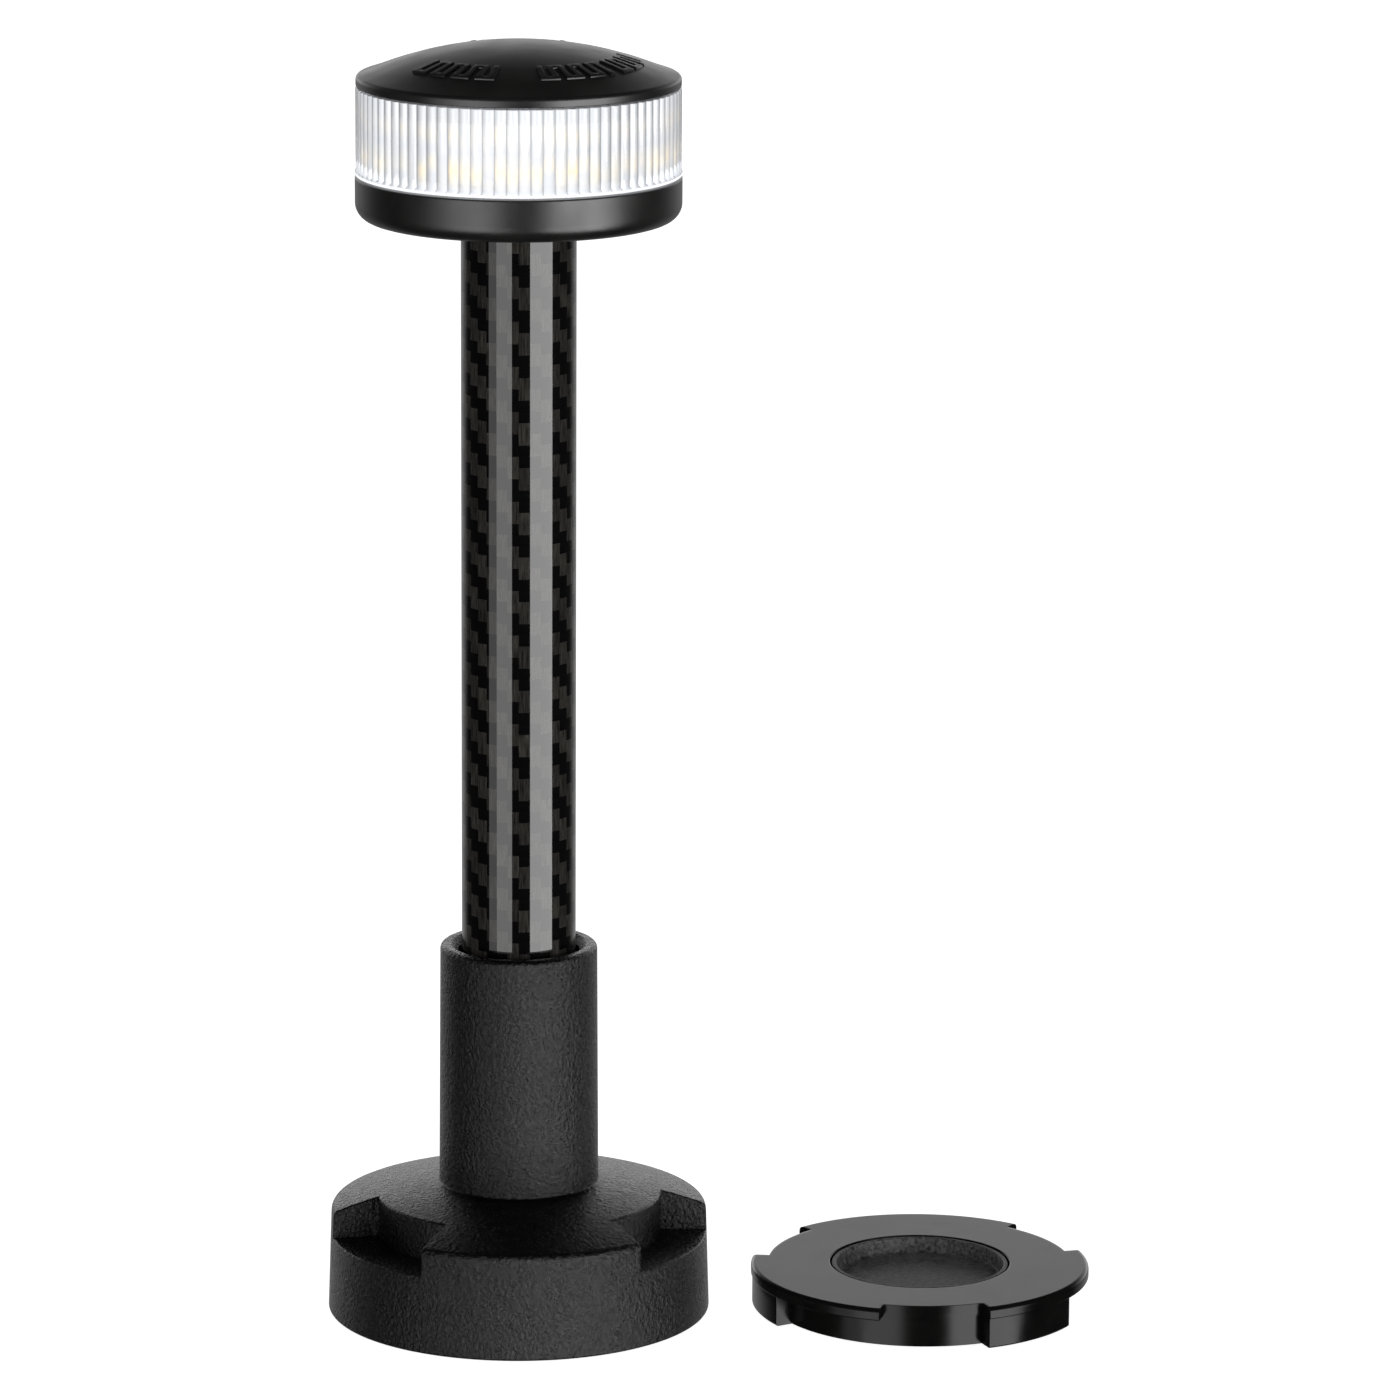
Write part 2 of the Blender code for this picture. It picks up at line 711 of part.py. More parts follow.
def light_engine(finishes, parent):
    """Driver board, LEDs on an aluminium core, the two white reflectors and the bolt that clamps it all."""
    hole = BOLT_RADIUS + GAP
    edge = spigot_inner - 1
    turned(
        "driver_board",
        [(edge, board_high), (edge, board_low), (hole, board_low), (hole, board_high)],
        finishes["board"],
        parent,
    )
    half_turn = math.pi / LED_COUNT
    corner = CORE_APOTHEM / math.cos(half_turn)
    core = turned(
        "led_core",
        [(corner, core_high), (corner, core_low), (hole, core_low), (hole, core_high)],
        finishes["aluminium"],
        parent,
        sides=LED_COUNT,
    )
    core.rotation_euler.z = half_turn
    middle = CORE_APOTHEM + GAP + LED_THICK / 2
    for number in range(LED_COUNT):
        block(
            f"led_{number + 1}",
            (LED_THICK, LED_SIZE, LED_SIZE),
            (middle, 0, led_middle),
            finishes["led"],
            parent,
            bearing=360 * number / LED_COUNT,
        )
    inner = corner + 1.4
    outer = spigot_inner - 0.4
    turned(
        "lower_reflector",
        [(inner, led_middle - 2.4), (outer, lens_low - 0.4), (outer, board_high + GAP),
         (inner, board_high + GAP)],
        finishes["white plastic"],
        parent,
    )
    roof = core_high + GAP
    outer = cap_plug_inner - GAP
    turned(
        "upper_reflector",
        [(outer, lens_high - 1.2), (outer, lens_high - SPIGOT_DEPTH + 0.6), (corner + 1, roof - 1.4),
         (corner + 0.5, roof), (hole, roof), (hole, roof + 1.6), (corner + 2, roof + 1.6)],
        finishes["white plastic"],
        parent,
    )
    bolt_high = cap_apex - CAP_WALL - 1.5
    shoulder = stem_low + BOLT_HEAD_HIGH
    key_radius, key_high = 1.25, stem_low + 1.2
    turned(
        "clamp_bolt",
        [(0, bolt_high), (BOLT_RADIUS, bolt_high), (BOLT_RADIUS, shoulder), (BOLT_HEAD, shoulder),
         (BOLT_HEAD, stem_low), (key_radius, stem_low), (key_radius, key_high), (0, key_high)],
        finishes["steel"],
        parent,
        sides=24,
    )


def stem_end(finishes, parent):
    """The spring clip that keeps the head on the pole, and the wiper that closes the switch."""
    inner, outer = stem_radius - CLIP_DEPTH + GAP, stem_radius + CLIP_REACH
    clip = turned(
        "stem_clip",
        [(outer, clip_high), (outer, clip_low), (inner, clip_low), (inner, clip_high)],
        finishes["steel"],
        parent,
    )
    mouth = sector("clip_mouth", 1, outer + 1, clip_low - 1, clip_high + 1, 0, 50, parent)
    boolean(clip, "DIFFERENCE", mouth)
    block("wiper", (8.0, 2.6, 0.5), (2.0, 0, wiper_low + 0.25), finishes["brass"], parent)


def build():
    clear_scene()
    finishes = {
        "grained nylon": finish("grained black nylon", (0.028, 0.027, 0.026), 0.5),
        "satin plastic": finish("satin black plastic", (0.03, 0.03, 0.031), 0.38),
        "gloss plastic": finish("glossy black plastic", (0.014, 0.014, 0.015), 0.2),
        "carbon": finish("clear-coated carbon twill", (0.03, 0.031, 0.033), 0.12),
        "clear": finish("clear polycarbonate", (0.95, 0.96, 0.97), 0.05, transmission=1.0),
        "white plastic": finish("white plastic", (0.85, 0.85, 0.84), 0.35),
        "aluminium": finish("anodised aluminium", (0.3, 0.3, 0.31), 0.35, metallic=1.0),
        "steel": finish("stainless steel", (0.55, 0.55, 0.54), 0.3, metallic=1.0),
        "brass": finish("brass", (0.7, 0.48, 0.2), 0.3, metallic=1.0),
        "rubber": finish("black rubber", (0.02, 0.02, 0.02), 0.7),
        "foam": finish("grey adhesive foam", (0.12, 0.12, 0.12), 0.8),
        "board": finish("circuit board", (0.7, 0.72, 0.7), 0.4),
        "cell jacket": finish("cell jacket", (0.05, 0.1, 0.14), 0.3),
        "led": finish("led phosphor", (0.95, 0.85, 0.45), 0.4),
    }
    base = place("base", lamp_x)
    mast = place("mast", 0, base)
    tail = place("tail", 0, mast)
    head = place("head", 0, mast)
    plate = place("plate", plate_x)

    foot_and_column(finishes["grained nylon"], base)
    socket_liner(finishes["white plastic"], finishes["steel"], finishes["rubber"], base)
    deck_seal(finishes["rubber"], base)
    deck_plate(finishes["gloss plastic"], finishes["grained nylon"], finishes["foam"], plate)
    pole(finishes["carbon"], finishes["aluminium"], mast)
    power_pack(finishes, mast)
    tail_plug(finishes["aluminium"], finishes["rubber"], tail)
    tail_spring(finishes["steel"], finishes["brass"], tail)
    head_shell(finishes["satin plastic"], finishes["clear"], finishes["rubber"], head)
    light_engine(finishes, head)
    stem_end(finishes, head)


build()
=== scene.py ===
# %% [markdown]
# # A battery navigation light, from its CAD frame
# A small boat carries this all-round white light on a carbon pole. The pole stands in a cup-shaped foot,
# and the foot twist-locks onto a lobed deck plate, which here lies beside it. The CAD frame already says
# where every piece is and how it moves. This lesson gives the outer pieces their fine surface and every
# piece its finish.

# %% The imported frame
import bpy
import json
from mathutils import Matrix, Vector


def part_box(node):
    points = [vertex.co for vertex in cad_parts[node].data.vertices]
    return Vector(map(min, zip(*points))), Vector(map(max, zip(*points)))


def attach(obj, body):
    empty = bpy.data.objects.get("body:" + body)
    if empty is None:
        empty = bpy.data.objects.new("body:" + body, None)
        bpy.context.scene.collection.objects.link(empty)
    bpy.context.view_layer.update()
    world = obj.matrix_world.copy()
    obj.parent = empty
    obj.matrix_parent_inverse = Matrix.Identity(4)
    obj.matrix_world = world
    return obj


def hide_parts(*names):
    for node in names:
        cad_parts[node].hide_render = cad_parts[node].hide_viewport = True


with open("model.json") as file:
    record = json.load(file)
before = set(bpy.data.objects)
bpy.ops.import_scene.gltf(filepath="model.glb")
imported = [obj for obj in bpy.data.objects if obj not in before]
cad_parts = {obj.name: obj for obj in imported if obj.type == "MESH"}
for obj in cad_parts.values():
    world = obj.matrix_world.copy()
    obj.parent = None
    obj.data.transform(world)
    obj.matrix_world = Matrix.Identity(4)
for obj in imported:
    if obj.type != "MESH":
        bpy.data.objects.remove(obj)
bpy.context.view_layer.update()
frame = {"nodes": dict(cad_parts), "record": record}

# %% [markdown]
# Drawings of such hardware are in millimetres, so the shapes below are too, and one factor turns them
# into Blender's metres. The two vertical axes, of the lamp and of its deck plate, are read from the
# frame.

# %% Axes and units
import json
import math

import bmesh
import bpy
from mathutils import Matrix, Vector

MM = 0.001
GAP = 0.3  # between pieces that rest on each other
THIRDS = (0, 120, 240)


def low_high(node):
    """A CAD node's lowest and highest points above the deck, in millimetres."""
    low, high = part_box(node)
    return low.z / MM, high.z / MM


def radius_of(node):
    """Half a round CAD node's width, in millimetres."""
    low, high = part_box(node)
    return (high.x - low.x) / 2 / MM


def axis_of(node):
    """Where a round CAD node's vertical axis stands on the X axis, in metres."""
    low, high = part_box(node)
    return (low.x + high.x) / 2


lamp_x = axis_of("carbon_tube")
plate_x = axis_of("deck_plate")
print(f"lamp axis at x {lamp_x:.4f} m, plate axis at x {plate_x:.4f} m")

# %% [markdown]
# A long lens far away keeps the verticals nearly parallel. The camera stands in front of the lamp, a
# little above it, and looks down at a point between the lamp and the plate.

# %% Camera
CAMERA_DISTANCE = 1.3
CAMERA_HEIGHT = 0.405
CAMERA_AIM = Vector((-0.0021, 0, 0.110))
CAMERA_ROLL = 0.3
FOCAL_LENGTH = 196.4

camera_data = bpy.data.cameras.new("camera")
camera_data.sensor_width = 36
camera_data.lens = FOCAL_LENGTH
camera_data.clip_end = 50
camera = bpy.data.objects.new("camera", camera_data)
camera.location = (lamp_x, -CAMERA_DISTANCE, CAMERA_HEIGHT)
aim = (CAMERA_AIM - camera.location).to_track_quat("-Z", "Y").to_matrix()
camera.rotation_euler = (aim @ Matrix.Rotation(math.radians(CAMERA_ROLL), 3, "Z")).to_euler()
bpy.context.scene.collection.objects.link(camera)
bpy.context.scene.camera = camera
print(f"camera with a {FOCAL_LENGTH} mm lens, {CAMERA_DISTANCE} m in front of the lamp")

# %% [markdown]
# A node graph is easier to read when each node is one line. This function adds a node, sets what is
# named, and links any input whose value is another node, or one of its outputs. Colours are written as
# the sRGB hex values that a designer would quote, and one function turns them to the linear values that
# the shaders need.

# %% Node and colour helpers


def add(tree, kind, inputs=None, **settings):
    """A new node with its settings. An input that is given a node or an output is linked to it."""
    made = tree.nodes.new("ShaderNode" + kind)
    for name, value in settings.items():
        setattr(made, name, value)
    for key, value in (inputs or {}).items():
        if isinstance(value, bpy.types.Node):
            value = value.outputs[0]
        if isinstance(value, bpy.types.NodeSocket):
            tree.links.new(value, made.inputs[key])
        else:
            made.inputs[key].default_value = value
    return made


def colour(code, alpha=1.0):
    """Linear RGBA from a hex sRGB value."""
    parts = [int(code[i : i + 2], 16) / 255 for i in (1, 3, 5)]
    return (*[c / 12.92 if c <= 0.04045 else ((c + 0.055) / 1.055) ** 2.4 for c in parts], alpha)


def new_material(name, **sockets):
    """An empty Principled material, with sockets named in words joined by underscores."""
    made = bpy.data.materials.new(name)
    made.use_nodes = True
    shader = made.node_tree.nodes["Principled BSDF"]
    for key, value in sockets.items():
        shader.inputs[key.replace("_", " ")].default_value = value
    return made, made.node_tree, shader


def scale_for(size_mm):
    """The Scale of a noise or Voronoi texture whose cells measure this many millimetres."""
    return 1 / (size_mm * MM)


def mottled(tree, shader, object_out, dark, light, size_mm, rough_low, rough_high):
    """Lets a soft noise vary the colour and the roughness, as on any moulded skin."""
    noise = add(tree, "TexNoise", {"Vector": object_out, "Scale": scale_for(size_mm), "Detail": 4.0})
    ramp = add(tree, "ValToRGB", {"Fac": noise.outputs["Fac"]})
    ramp.color_ramp.elements[0].position = 0.3
    ramp.color_ramp.elements[0].color = colour(dark)
    ramp.color_ramp.elements[1].position = 0.7
    ramp.color_ramp.elements[1].color = colour(light)
    tree.links.new(ramp.outputs["Color"], shader.inputs["Base Color"])
    rough = add(tree, "MapRange", {"Value": noise.outputs["Fac"], "From Min": 0.3, "From Max": 0.7,
                                   "To Min": rough_low, "To Max": rough_high})
    tree.links.new(rough.outputs["Result"], shader.inputs["Roughness"])
    return noise


# %% [markdown]
# The foot is glass-filled nylon from a mould with an eroded leather grain. The grain is what the eye sees
# first: tiny shallow wrinkles, each with its own glint. A Voronoi texture gives the wrinkles and a finer
# noise breaks them up. Both only bend the light, because real grain is too shallow to change an outline;
# it is drawn deeper than it is, so that it shows on a lamp as small as this.

# %% Grained nylon


def grained(name, dark, light, speck_mm, grain_mm, depth_mm, rough_low, rough_high):
    made, tree, shader = new_material(name, IOR=1.53, Specular_IOR_Level=0.45)
    place = add(tree, "TexCoord").outputs["Object"]
    mottled(tree, shader, place, dark, light, speck_mm, rough_low, rough_high)
    warp = add(tree, "TexNoise", {"Vector": place, "Scale": scale_for(2 * grain_mm), "Detail": 2.0})
    bent = add(tree, "VectorMath", {0: warp.outputs["Color"], 1: (grain_mm * MM,) * 3, 2: place},
               operation="MULTIPLY_ADD")
    cells = add(tree, "TexVoronoi", {"Vector": bent, "Scale": scale_for(grain_mm)}, feature="SMOOTH_F1")
    fine = add(tree, "TexNoise", {"Vector": place, "Scale": scale_for(grain_mm / 3), "Detail": 3.0})
    height = add(tree, "Math", {0: cells.outputs["Distance"], 1: 0.65}, operation="MULTIPLY")
    height = add(tree, "Math", {0: fine.outputs["Fac"], 1: 0.5, 2: height}, operation="MULTIPLY_ADD")
    bump = add(tree, "Bump", {"Height": height, "Distance": depth_mm * MM, "Strength": 1.0})
    tree.links.new(bump.outputs["Normal"], shader.inputs["Normal"])
    return made


grained_nylon = grained("grained_nylon", "#050505", "#0c0b0b", speck_mm=2.0, grain_mm=0.6, depth_mm=0.34,
                        rough_low=0.2, rough_high=0.3)
speckled_nylon = grained("speckled_nylon", "#131313", "#6e6e6e", speck_mm=0.6, grain_mm=0.7, depth_mm=0.14,
                         rough_low=0.4, rough_high=0.55)
print(grained_nylon.name, "and", speckled_nylon.name)

# %% [markdown]
# Cap and housing are ABS from a finely blasted mould: a satin skin that blurs what it mirrors but keeps a
# broad sheen. The deck plate is the same plastic from a better polished mould, so its rounded edges catch
# hard lights.

# %% Satin and glossy black plastic


def moulded(name, dark, light, rough_low, rough_high, grit_mm, depth_mm, specular):
    made, tree, shader = new_material(name, IOR=1.5, Specular_IOR_Level=specular)
    place = add(tree, "TexCoord").outputs["Object"]
    mottled(tree, shader, place, dark, light, 6.0, rough_low, rough_high)
    grit = add(tree, "TexNoise", {"Vector": place, "Scale": scale_for(grit_mm), "Detail": 3.0})
    bump = add(tree, "Bump", {"Height": grit.outputs["Fac"], "Distance": depth_mm * MM, "Strength": 1.0})
    tree.links.new(bump.outputs["Normal"], shader.inputs["Normal"])
    return made


satin_plastic = moulded("satin_plastic", "#181717", "#222120", rough_low=0.35, rough_high=0.42,
                        grit_mm=0.3, depth_mm=0.006, specular=1.0)
gloss_plastic = moulded("gloss_plastic", "#0e0d0d", "#161514", rough_low=0.16, rough_high=0.24,
                        grit_mm=1.2, depth_mm=0.004, specular=0.26)
print(satin_plastic.name, "and", gloss_plastic.name)

# %% [markdown]
# The tube is rolled from 3K carbon cloth in a 2x2 twill and coated with clear epoxy. Each 2 mm tow passes
# over two and under two, one step further at each neighbour, so the floats climb in diagonals. Tows that
# run up the tube and tows that run round it reflect differently, which is why a flat weave looks
# checkered; that difference is painted sheen here, a lighter base colour for the tows up the tube than for
# the near-black ones round it. The graph counts tows round the tube and up it, tells by their sum which
# kind lies on top, and gives each float its own crowned height and its streaks of fibre, which also streak
# its painted sheen. The coat is a second, smooth gloss over that bumpy layer.

# %% Carbon twill
TOWS_AROUND = 32  # a multiple of four, so the twill closes on itself
tube_radius = radius_of("carbon_tube")
tow_mm = math.tau * tube_radius / TOWS_AROUND
# painted sheen: a near-black and a lighter base colour stand for how the two tow directions reflect
WEFT_SHEEN, WARP_SHEEN = "#040404", "#3a3834"
WEFT_ROUGH, WARP_ROUGH = 0.55, 0.38


def carbon_material():
    made, tree, shader = new_material("carbon_twill", IOR=1.5, Specular_IOR_Level=0.06,
                                      Coat_Weight=1.0, Coat_Roughness=0.04, Coat_IOR=1.6)
    place = add(tree, "TexCoord").outputs["Object"]
    middle = add(tree, "Mapping", {"Vector": place, "Location": (-lamp_x, 0, 0)})
    x, y, z = add(tree, "SeparateXYZ", {0: middle}).outputs
    bearing = add(tree, "Math", {0: y, 1: x}, operation="ARCTAN2")
    across = add(tree, "Math", {0: bearing, 1: TOWS_AROUND / math.tau}, operation="MULTIPLY")
    up = add(tree, "Math", {0: z, 1: 1 / (tow_mm * MM)}, operation="MULTIPLY")
    column = add(tree, "Math", {0: across}, operation="FLOOR")
    row = add(tree, "Math", {0: up}, operation="FLOOR")
    counted = add(tree, "Math", {0: column, 1: row}, operation="ADD")
    diagonal = add(tree, "Math", {0: counted, 1: 4.0}, operation="FLOORED_MODULO")
    warp_on_top = add(tree, "Math", {0: diagonal, 1: 1.5}, operation="LESS_THAN")

    def fibres(along_x, along_y):
        """Streaks along a tow: a noise stretched in one of its two directions."""
        flat_x = add(tree, "Math", {0: across, 1: along_x}, operation="MULTIPLY")
        flat_y = add(tree, "Math", {0: up, 1: along_y}, operation="MULTIPLY")
        lie = add(tree, "CombineXYZ", {0: flat_x, 1: flat_y})
        return add(tree, "TexNoise", {"Vector": lie, "Scale": 1.0, "Detail": 2.0}).outputs["Fac"]

    def tow_height(value, along_x, along_y):
        """A hump over each tow, 0 at its edges and 1 along its middle, with its fibres on it."""
        part = add(tree, "Math", {0: value}, operation="FRACT")
        part = add(tree, "Math", {0: part, 1: 0.5}, operation="SUBTRACT")
        square = add(tree, "Math", {0: part, 1: part}, operation="MULTIPLY")
        crown = add(tree, "Math", {0: square, 1: -4.0, 2: 1.0}, operation="MULTIPLY_ADD")
        return add(tree, "Math", {0: fibres(along_x, along_y), 1: 0.35, 2: crown}, operation="MULTIPLY_ADD")

    blend = {"Factor": warp_on_top}
    weft_height, warp_height = tow_height(up, 0.6, 9.0), tow_height(across, 9.0, 0.6)
    height = add(tree, "Mix", {**blend, "A": weft_height, "B": warp_height})
    # painted sheen: each tow direction's colour, streaked by its fibres and scaled by each float's own amount
    sheen_colours = {6: colour(WEFT_SHEEN), 7: colour(WARP_SHEEN)}
    tow_sheen = add(tree, "Mix", {**blend, **sheen_colours}, data_type="RGBA").outputs[2]
    streak = add(tree, "Mix", {**blend, "A": fibres(0.6, 7.0), "B": fibres(7.0, 0.6)})
    streak = add(tree, "MapRange", {0: streak, 1: 0.3, 2: 0.7, 3: 0.25, 4: 1.3})
    # every float lies a little differently, so each gets its own amount of painted sheen in its colour
    float_start = add(tree, "Math", {0: up, 1: diagonal}, operation="SUBTRACT")
    float_start = add(tree, "Math", {0: float_start, 1: 0.5}, operation="MULTIPLY")
    float_row = add(tree, "Math", {0: float_start}, operation="FLOOR")
    cell = add(tree, "CombineXYZ", {0: column, 1: float_row})
    own = add(tree, "TexWhiteNoise", {"Vector": cell}, noise_dimensions="2D").outputs["Value"]
    own = add(tree, "Math", {0: own, 1: 0.5, 2: 0.75}, operation="MULTIPLY_ADD")
    streak = add(tree, "Math", {0: streak, 1: own}, operation="MULTIPLY")
    painted_sheen = add(tree, "Mix", {0: 1.0, 6: tow_sheen, 7: streak}, data_type="RGBA", blend_type="MULTIPLY")
    tree.links.new(painted_sheen.outputs[2], shader.inputs["Base Color"])
    rough = add(tree, "Mix", {**blend, "A": WEFT_ROUGH, "B": WARP_ROUGH})
    tree.links.new(rough.outputs[0], shader.inputs["Roughness"])
    bump = add(tree, "Bump", {"Height": height, "Distance": 0.05 * MM, "Strength": 0.8})
    tree.links.new(bump.outputs["Normal"], shader.inputs["Normal"])
    return made


carbon_twill = carbon_material()
print(f"twill tows are {tow_mm:.2f} mm wide")

# %% [markdown]
# The lens is clear polycarbonate with upright flutes that spread the light into an even ring. Lit from
# inside it is nearly white all over. Grey lines of painted shade stand in the valleys between flutes, where
# the eye looks past the light: a darker base colour and a weaker glow. Warm glints are painted as bands of
# emission where a flute images the LEDs, and fainter above where their reflection shows. The valley
# pattern is worked out from the same angle and count as the flutes' geometry, so the two always agree.

# %% Clear lens
FLUTES = 84
lens_low_all, lens_high = low_high("lens")
housing_top = low_high("head_housing")[1]
lens_low = housing_top + GAP
led_middle = sum(low_high("led_1")) / 2
FLANGE_TOP = lens_low + 0.5
# the wall's glow, the painted shade's loss along the valleys, the painted glints' strength, and the loss at
# grazing angles
WALL_POWER, VALLEY_SHADE_LOSS, GLINT_POWER, GRAZING_LOSS = 0.7, 0.34, 0.35, 1.4


def lens_material():
    made, tree, shader = new_material("clear_lens", IOR=1.585, Roughness=0.12, Transmission_Weight=0.7,
                                      Specular_IOR_Level=0.35)
    place = add(tree, "TexCoord").outputs["Object"]
    middle = add(tree, "Mapping", {"Vector": place, "Location": (-lamp_x, 0, 0)})
    x, y, z = add(tree, "SeparateXYZ", {0: middle}).outputs
    bearing = add(tree, "Math", {0: y, 1: x}, operation="ARCTAN2")
    turn = add(tree, "Math", {0: bearing, 1: FLUTES / math.tau}, operation="MULTIPLY")
    number = add(tree, "Math", {0: turn}, operation="FLOOR")
    within = add(tree, "Math", {0: turn}, operation="FRACT")
    from_crest = add(tree, "Math", {0: within, 1: 0.5}, operation="SUBTRACT")
    from_crest = add(tree, "Math", {0: from_crest}, operation="ABSOLUTE")
    high = add(tree, "Math", {0: z, 1: 1 / MM}, operation="MULTIPLY")
    above_flange = add(tree, "Math", {0: high, 1: FLANGE_TOP}, operation="GREATER_THAN")
    # one value for each flute, which changes slowly with height
    own_x = add(tree, "Math", {0: number, 1: 7.31}, operation="MULTIPLY")
    own_y = add(tree, "Math", {0: high, 1: 0.13}, operation="MULTIPLY")
    own = add(tree, "CombineXYZ", {0: own_x, 1: own_y})
    vary = add(tree, "TexNoise", {"Vector": own, "Scale": 1.0, "Detail": 1.0}).outputs["Fac"]
    edge = add(tree, "Math", {0: vary, 1: -0.14, 2: 0.47}, operation="MULTIPLY_ADD")
    valley_shade = add(tree, "MapRange", {0: from_crest, 1: edge, 2: 0.5, 3: 0.0, 4: 1.0})
    valley_shade = add(tree, "Math", {0: valley_shade, 1: above_flange}, operation="MULTIPLY")
    # painted shade: along the valleys' lines the base colour turns a darker grey
    shaded_base = add(tree, "Mix", {0: valley_shade, 6: colour("#84868a"), 7: colour("#505256")}, data_type="RGBA")
    tree.links.new(shaded_base.outputs[2], shader.inputs["Base Color"])

    def band(centre_mm, reach_mm, peak):
        """A value that peaks at this height and falls to 0 at its reach above and below."""
        away = add(tree, "Math", {0: high, 1: centre_mm}, operation="SUBTRACT")
        away = add(tree, "Math", {0: away}, operation="ABSOLUTE")
        return add(tree, "MapRange", {0: away, 1: 0.0, 2: reach_mm, 3: peak, 4: 0.0})

    # painted glints: warm emission bands at the LEDs' height and, fainter, above where their reflection
    # shows, on flutes that a noise picks
    picked = add(tree, "MapRange", {0: vary, 1: 0.42, 2: 0.62, 3: 0.0, 4: 1.0})
    direct, mirrored = band(led_middle, 3.2, 1.0), band(led_middle + 6.5, 2.6, 0.5)
    bands = add(tree, "Math", {0: direct, 1: mirrored}, operation="ADD")
    glint = add(tree, "Math", {0: picked, 1: bands}, operation="MULTIPLY")
    beside = add(tree, "Math", {0: 1.0, 1: valley_shade}, operation="SUBTRACT")
    glint = add(tree, "Math", {0: glint, 1: beside}, operation="MULTIPLY")
    glow = add(tree, "Mix", {0: glint, 6: colour("#f6f8fb"), 7: colour("#ffe8bc")}, data_type="RGBA")
    tree.links.new(glow.outputs[2], shader.inputs["Emission Color"])
    # a clear wall lets less light out at a grazing angle: the flutes' flanks and the lens's sides are greyer
    facing = add(tree, "LayerWeight", {"Blend": 0.5}).outputs["Facing"]
    let_out = add(tree, "Math", {0: facing, 1: -GRAZING_LOSS, 2: 1.0}, operation="MULTIPLY_ADD")
    on_flange = add(tree, "Math", {0: high, 1: FLANGE_TOP}, operation="LESS_THAN")
    let_out = add(tree, "Math", {0: let_out, 1: on_flange}, operation="MAXIMUM")
    # painted shade: the glow is weaker along the valleys' lines
    power = add(tree, "Math", {0: valley_shade, 1: -VALLEY_SHADE_LOSS, 2: WALL_POWER}, operation="MULTIPLY_ADD")
    power = add(tree, "Math", {0: glint, 1: GLINT_POWER, 2: power}, operation="MULTIPLY_ADD")
    power = add(tree, "Math", {0: power, 1: 0.0}, operation="MAXIMUM")
    power = add(tree, "Math", {0: power, 1: let_out}, operation="MULTIPLY")
    tree.links.new(power.outputs[0], shader.inputs["Emission Strength"])
    return made


clear_lens = lens_material()
print(f"{FLUTES} flutes, each {math.tau * radius_of('lens') / FLUTES:.2f} mm wide")

# %% [markdown]
# The metal parts: black anodised ferrules, a machined aluminium core, stainless screws and brass
# contacts. A metal's colour is in its reflection, so Metallic is 1 and the roughness tells how it was
# finished. Turning leaves fine rings, which a stretched noise draws as a low bump.

# %% Metals


def turned_metal(name, code, rough, line_mm, depth_mm):
    made, tree, shader = new_material(name, Metallic=1.0, Base_Color=colour(code))
    place = add(tree, "TexCoord").outputs["Object"]
    rings = add(tree, "Mapping", {"Vector": place, "Scale": (0.05, 0.05, 1.0)})
    noise = add(tree, "TexNoise", {"Vector": rings, "Scale": scale_for(line_mm), "Detail": 3.0})
    wear = add(tree, "MapRange", {0: noise.outputs["Fac"], 1: 0.3, 2: 0.7, 3: rough - 0.06, 4: rough + 0.08})
    tree.links.new(wear.outputs[0], shader.inputs["Roughness"])
    bump = add(tree, "Bump", {"Height": noise.outputs["Fac"], "Distance": depth_mm * MM, "Strength": 1.0})
    tree.links.new(bump.outputs["Normal"], shader.inputs["Normal"])
    return made


black_aluminium = turned_metal("black_aluminium", "#4a4a4c", rough=0.32, line_mm=0.25, depth_mm=0.004)
bare_aluminium = turned_metal("bare_aluminium", "#d9dadb", rough=0.34, line_mm=0.3, depth_mm=0.006)
stainless_steel = turned_metal("stainless_steel", "#c4c2be", rough=0.26, line_mm=0.2, depth_mm=0.003)
brass = turned_metal("brass", "#d8b56a", rough=0.3, line_mm=0.25, depth_mm=0.004)
print("metals:", black_aluminium.name, bare_aluminium.name, stainless_steel.name, brass.name)

# %% [markdown]
# Rubber, foam, boards and cells are seen only when the lamp is opened, or through the lens. They still
# get what makes them readable: bloom on rubber, cells in foam, tracks under the board's mask, a band on
# each cell.

# %% Soft and electrical materials


def dull(name, dark, light, size_mm, rough_low, rough_high, depth_mm, **sockets):
    made, tree, shader = new_material(name, **sockets)
    place = add(tree, "TexCoord").outputs["Object"]
    noise = mottled(tree, shader, place, dark, light, size_mm, rough_low, rough_high)
    bump = add(tree, "Bump", {"Height": noise.outputs["Fac"], "Distance": depth_mm * MM, "Strength": 1.0})
    tree.links.new(bump.outputs["Normal"], shader.inputs["Normal"])
    return made


def foam_material():
    made, tree, shader = new_material("foam", Roughness=0.9)
    place = add(tree, "TexCoord").outputs["Object"]
    cells = add(tree, "TexVoronoi", {"Vector": place, "Scale": scale_for(0.5)})
    ramp = add(tree, "ValToRGB", {"Fac": cells.outputs["Distance"]})
    ramp.color_ramp.elements[0].color = colour("#1f1f20")
    ramp.color_ramp.elements[1].color = colour("#454546")
    tree.links.new(ramp.outputs["Color"], shader.inputs["Base Color"])
    bump = add(tree, "Bump", {"Height": cells.outputs["Distance"], "Distance": 0.1 * MM, "Strength": 1.0})
    tree.links.new(bump.outputs["Normal"], shader.inputs["Normal"])
    return made


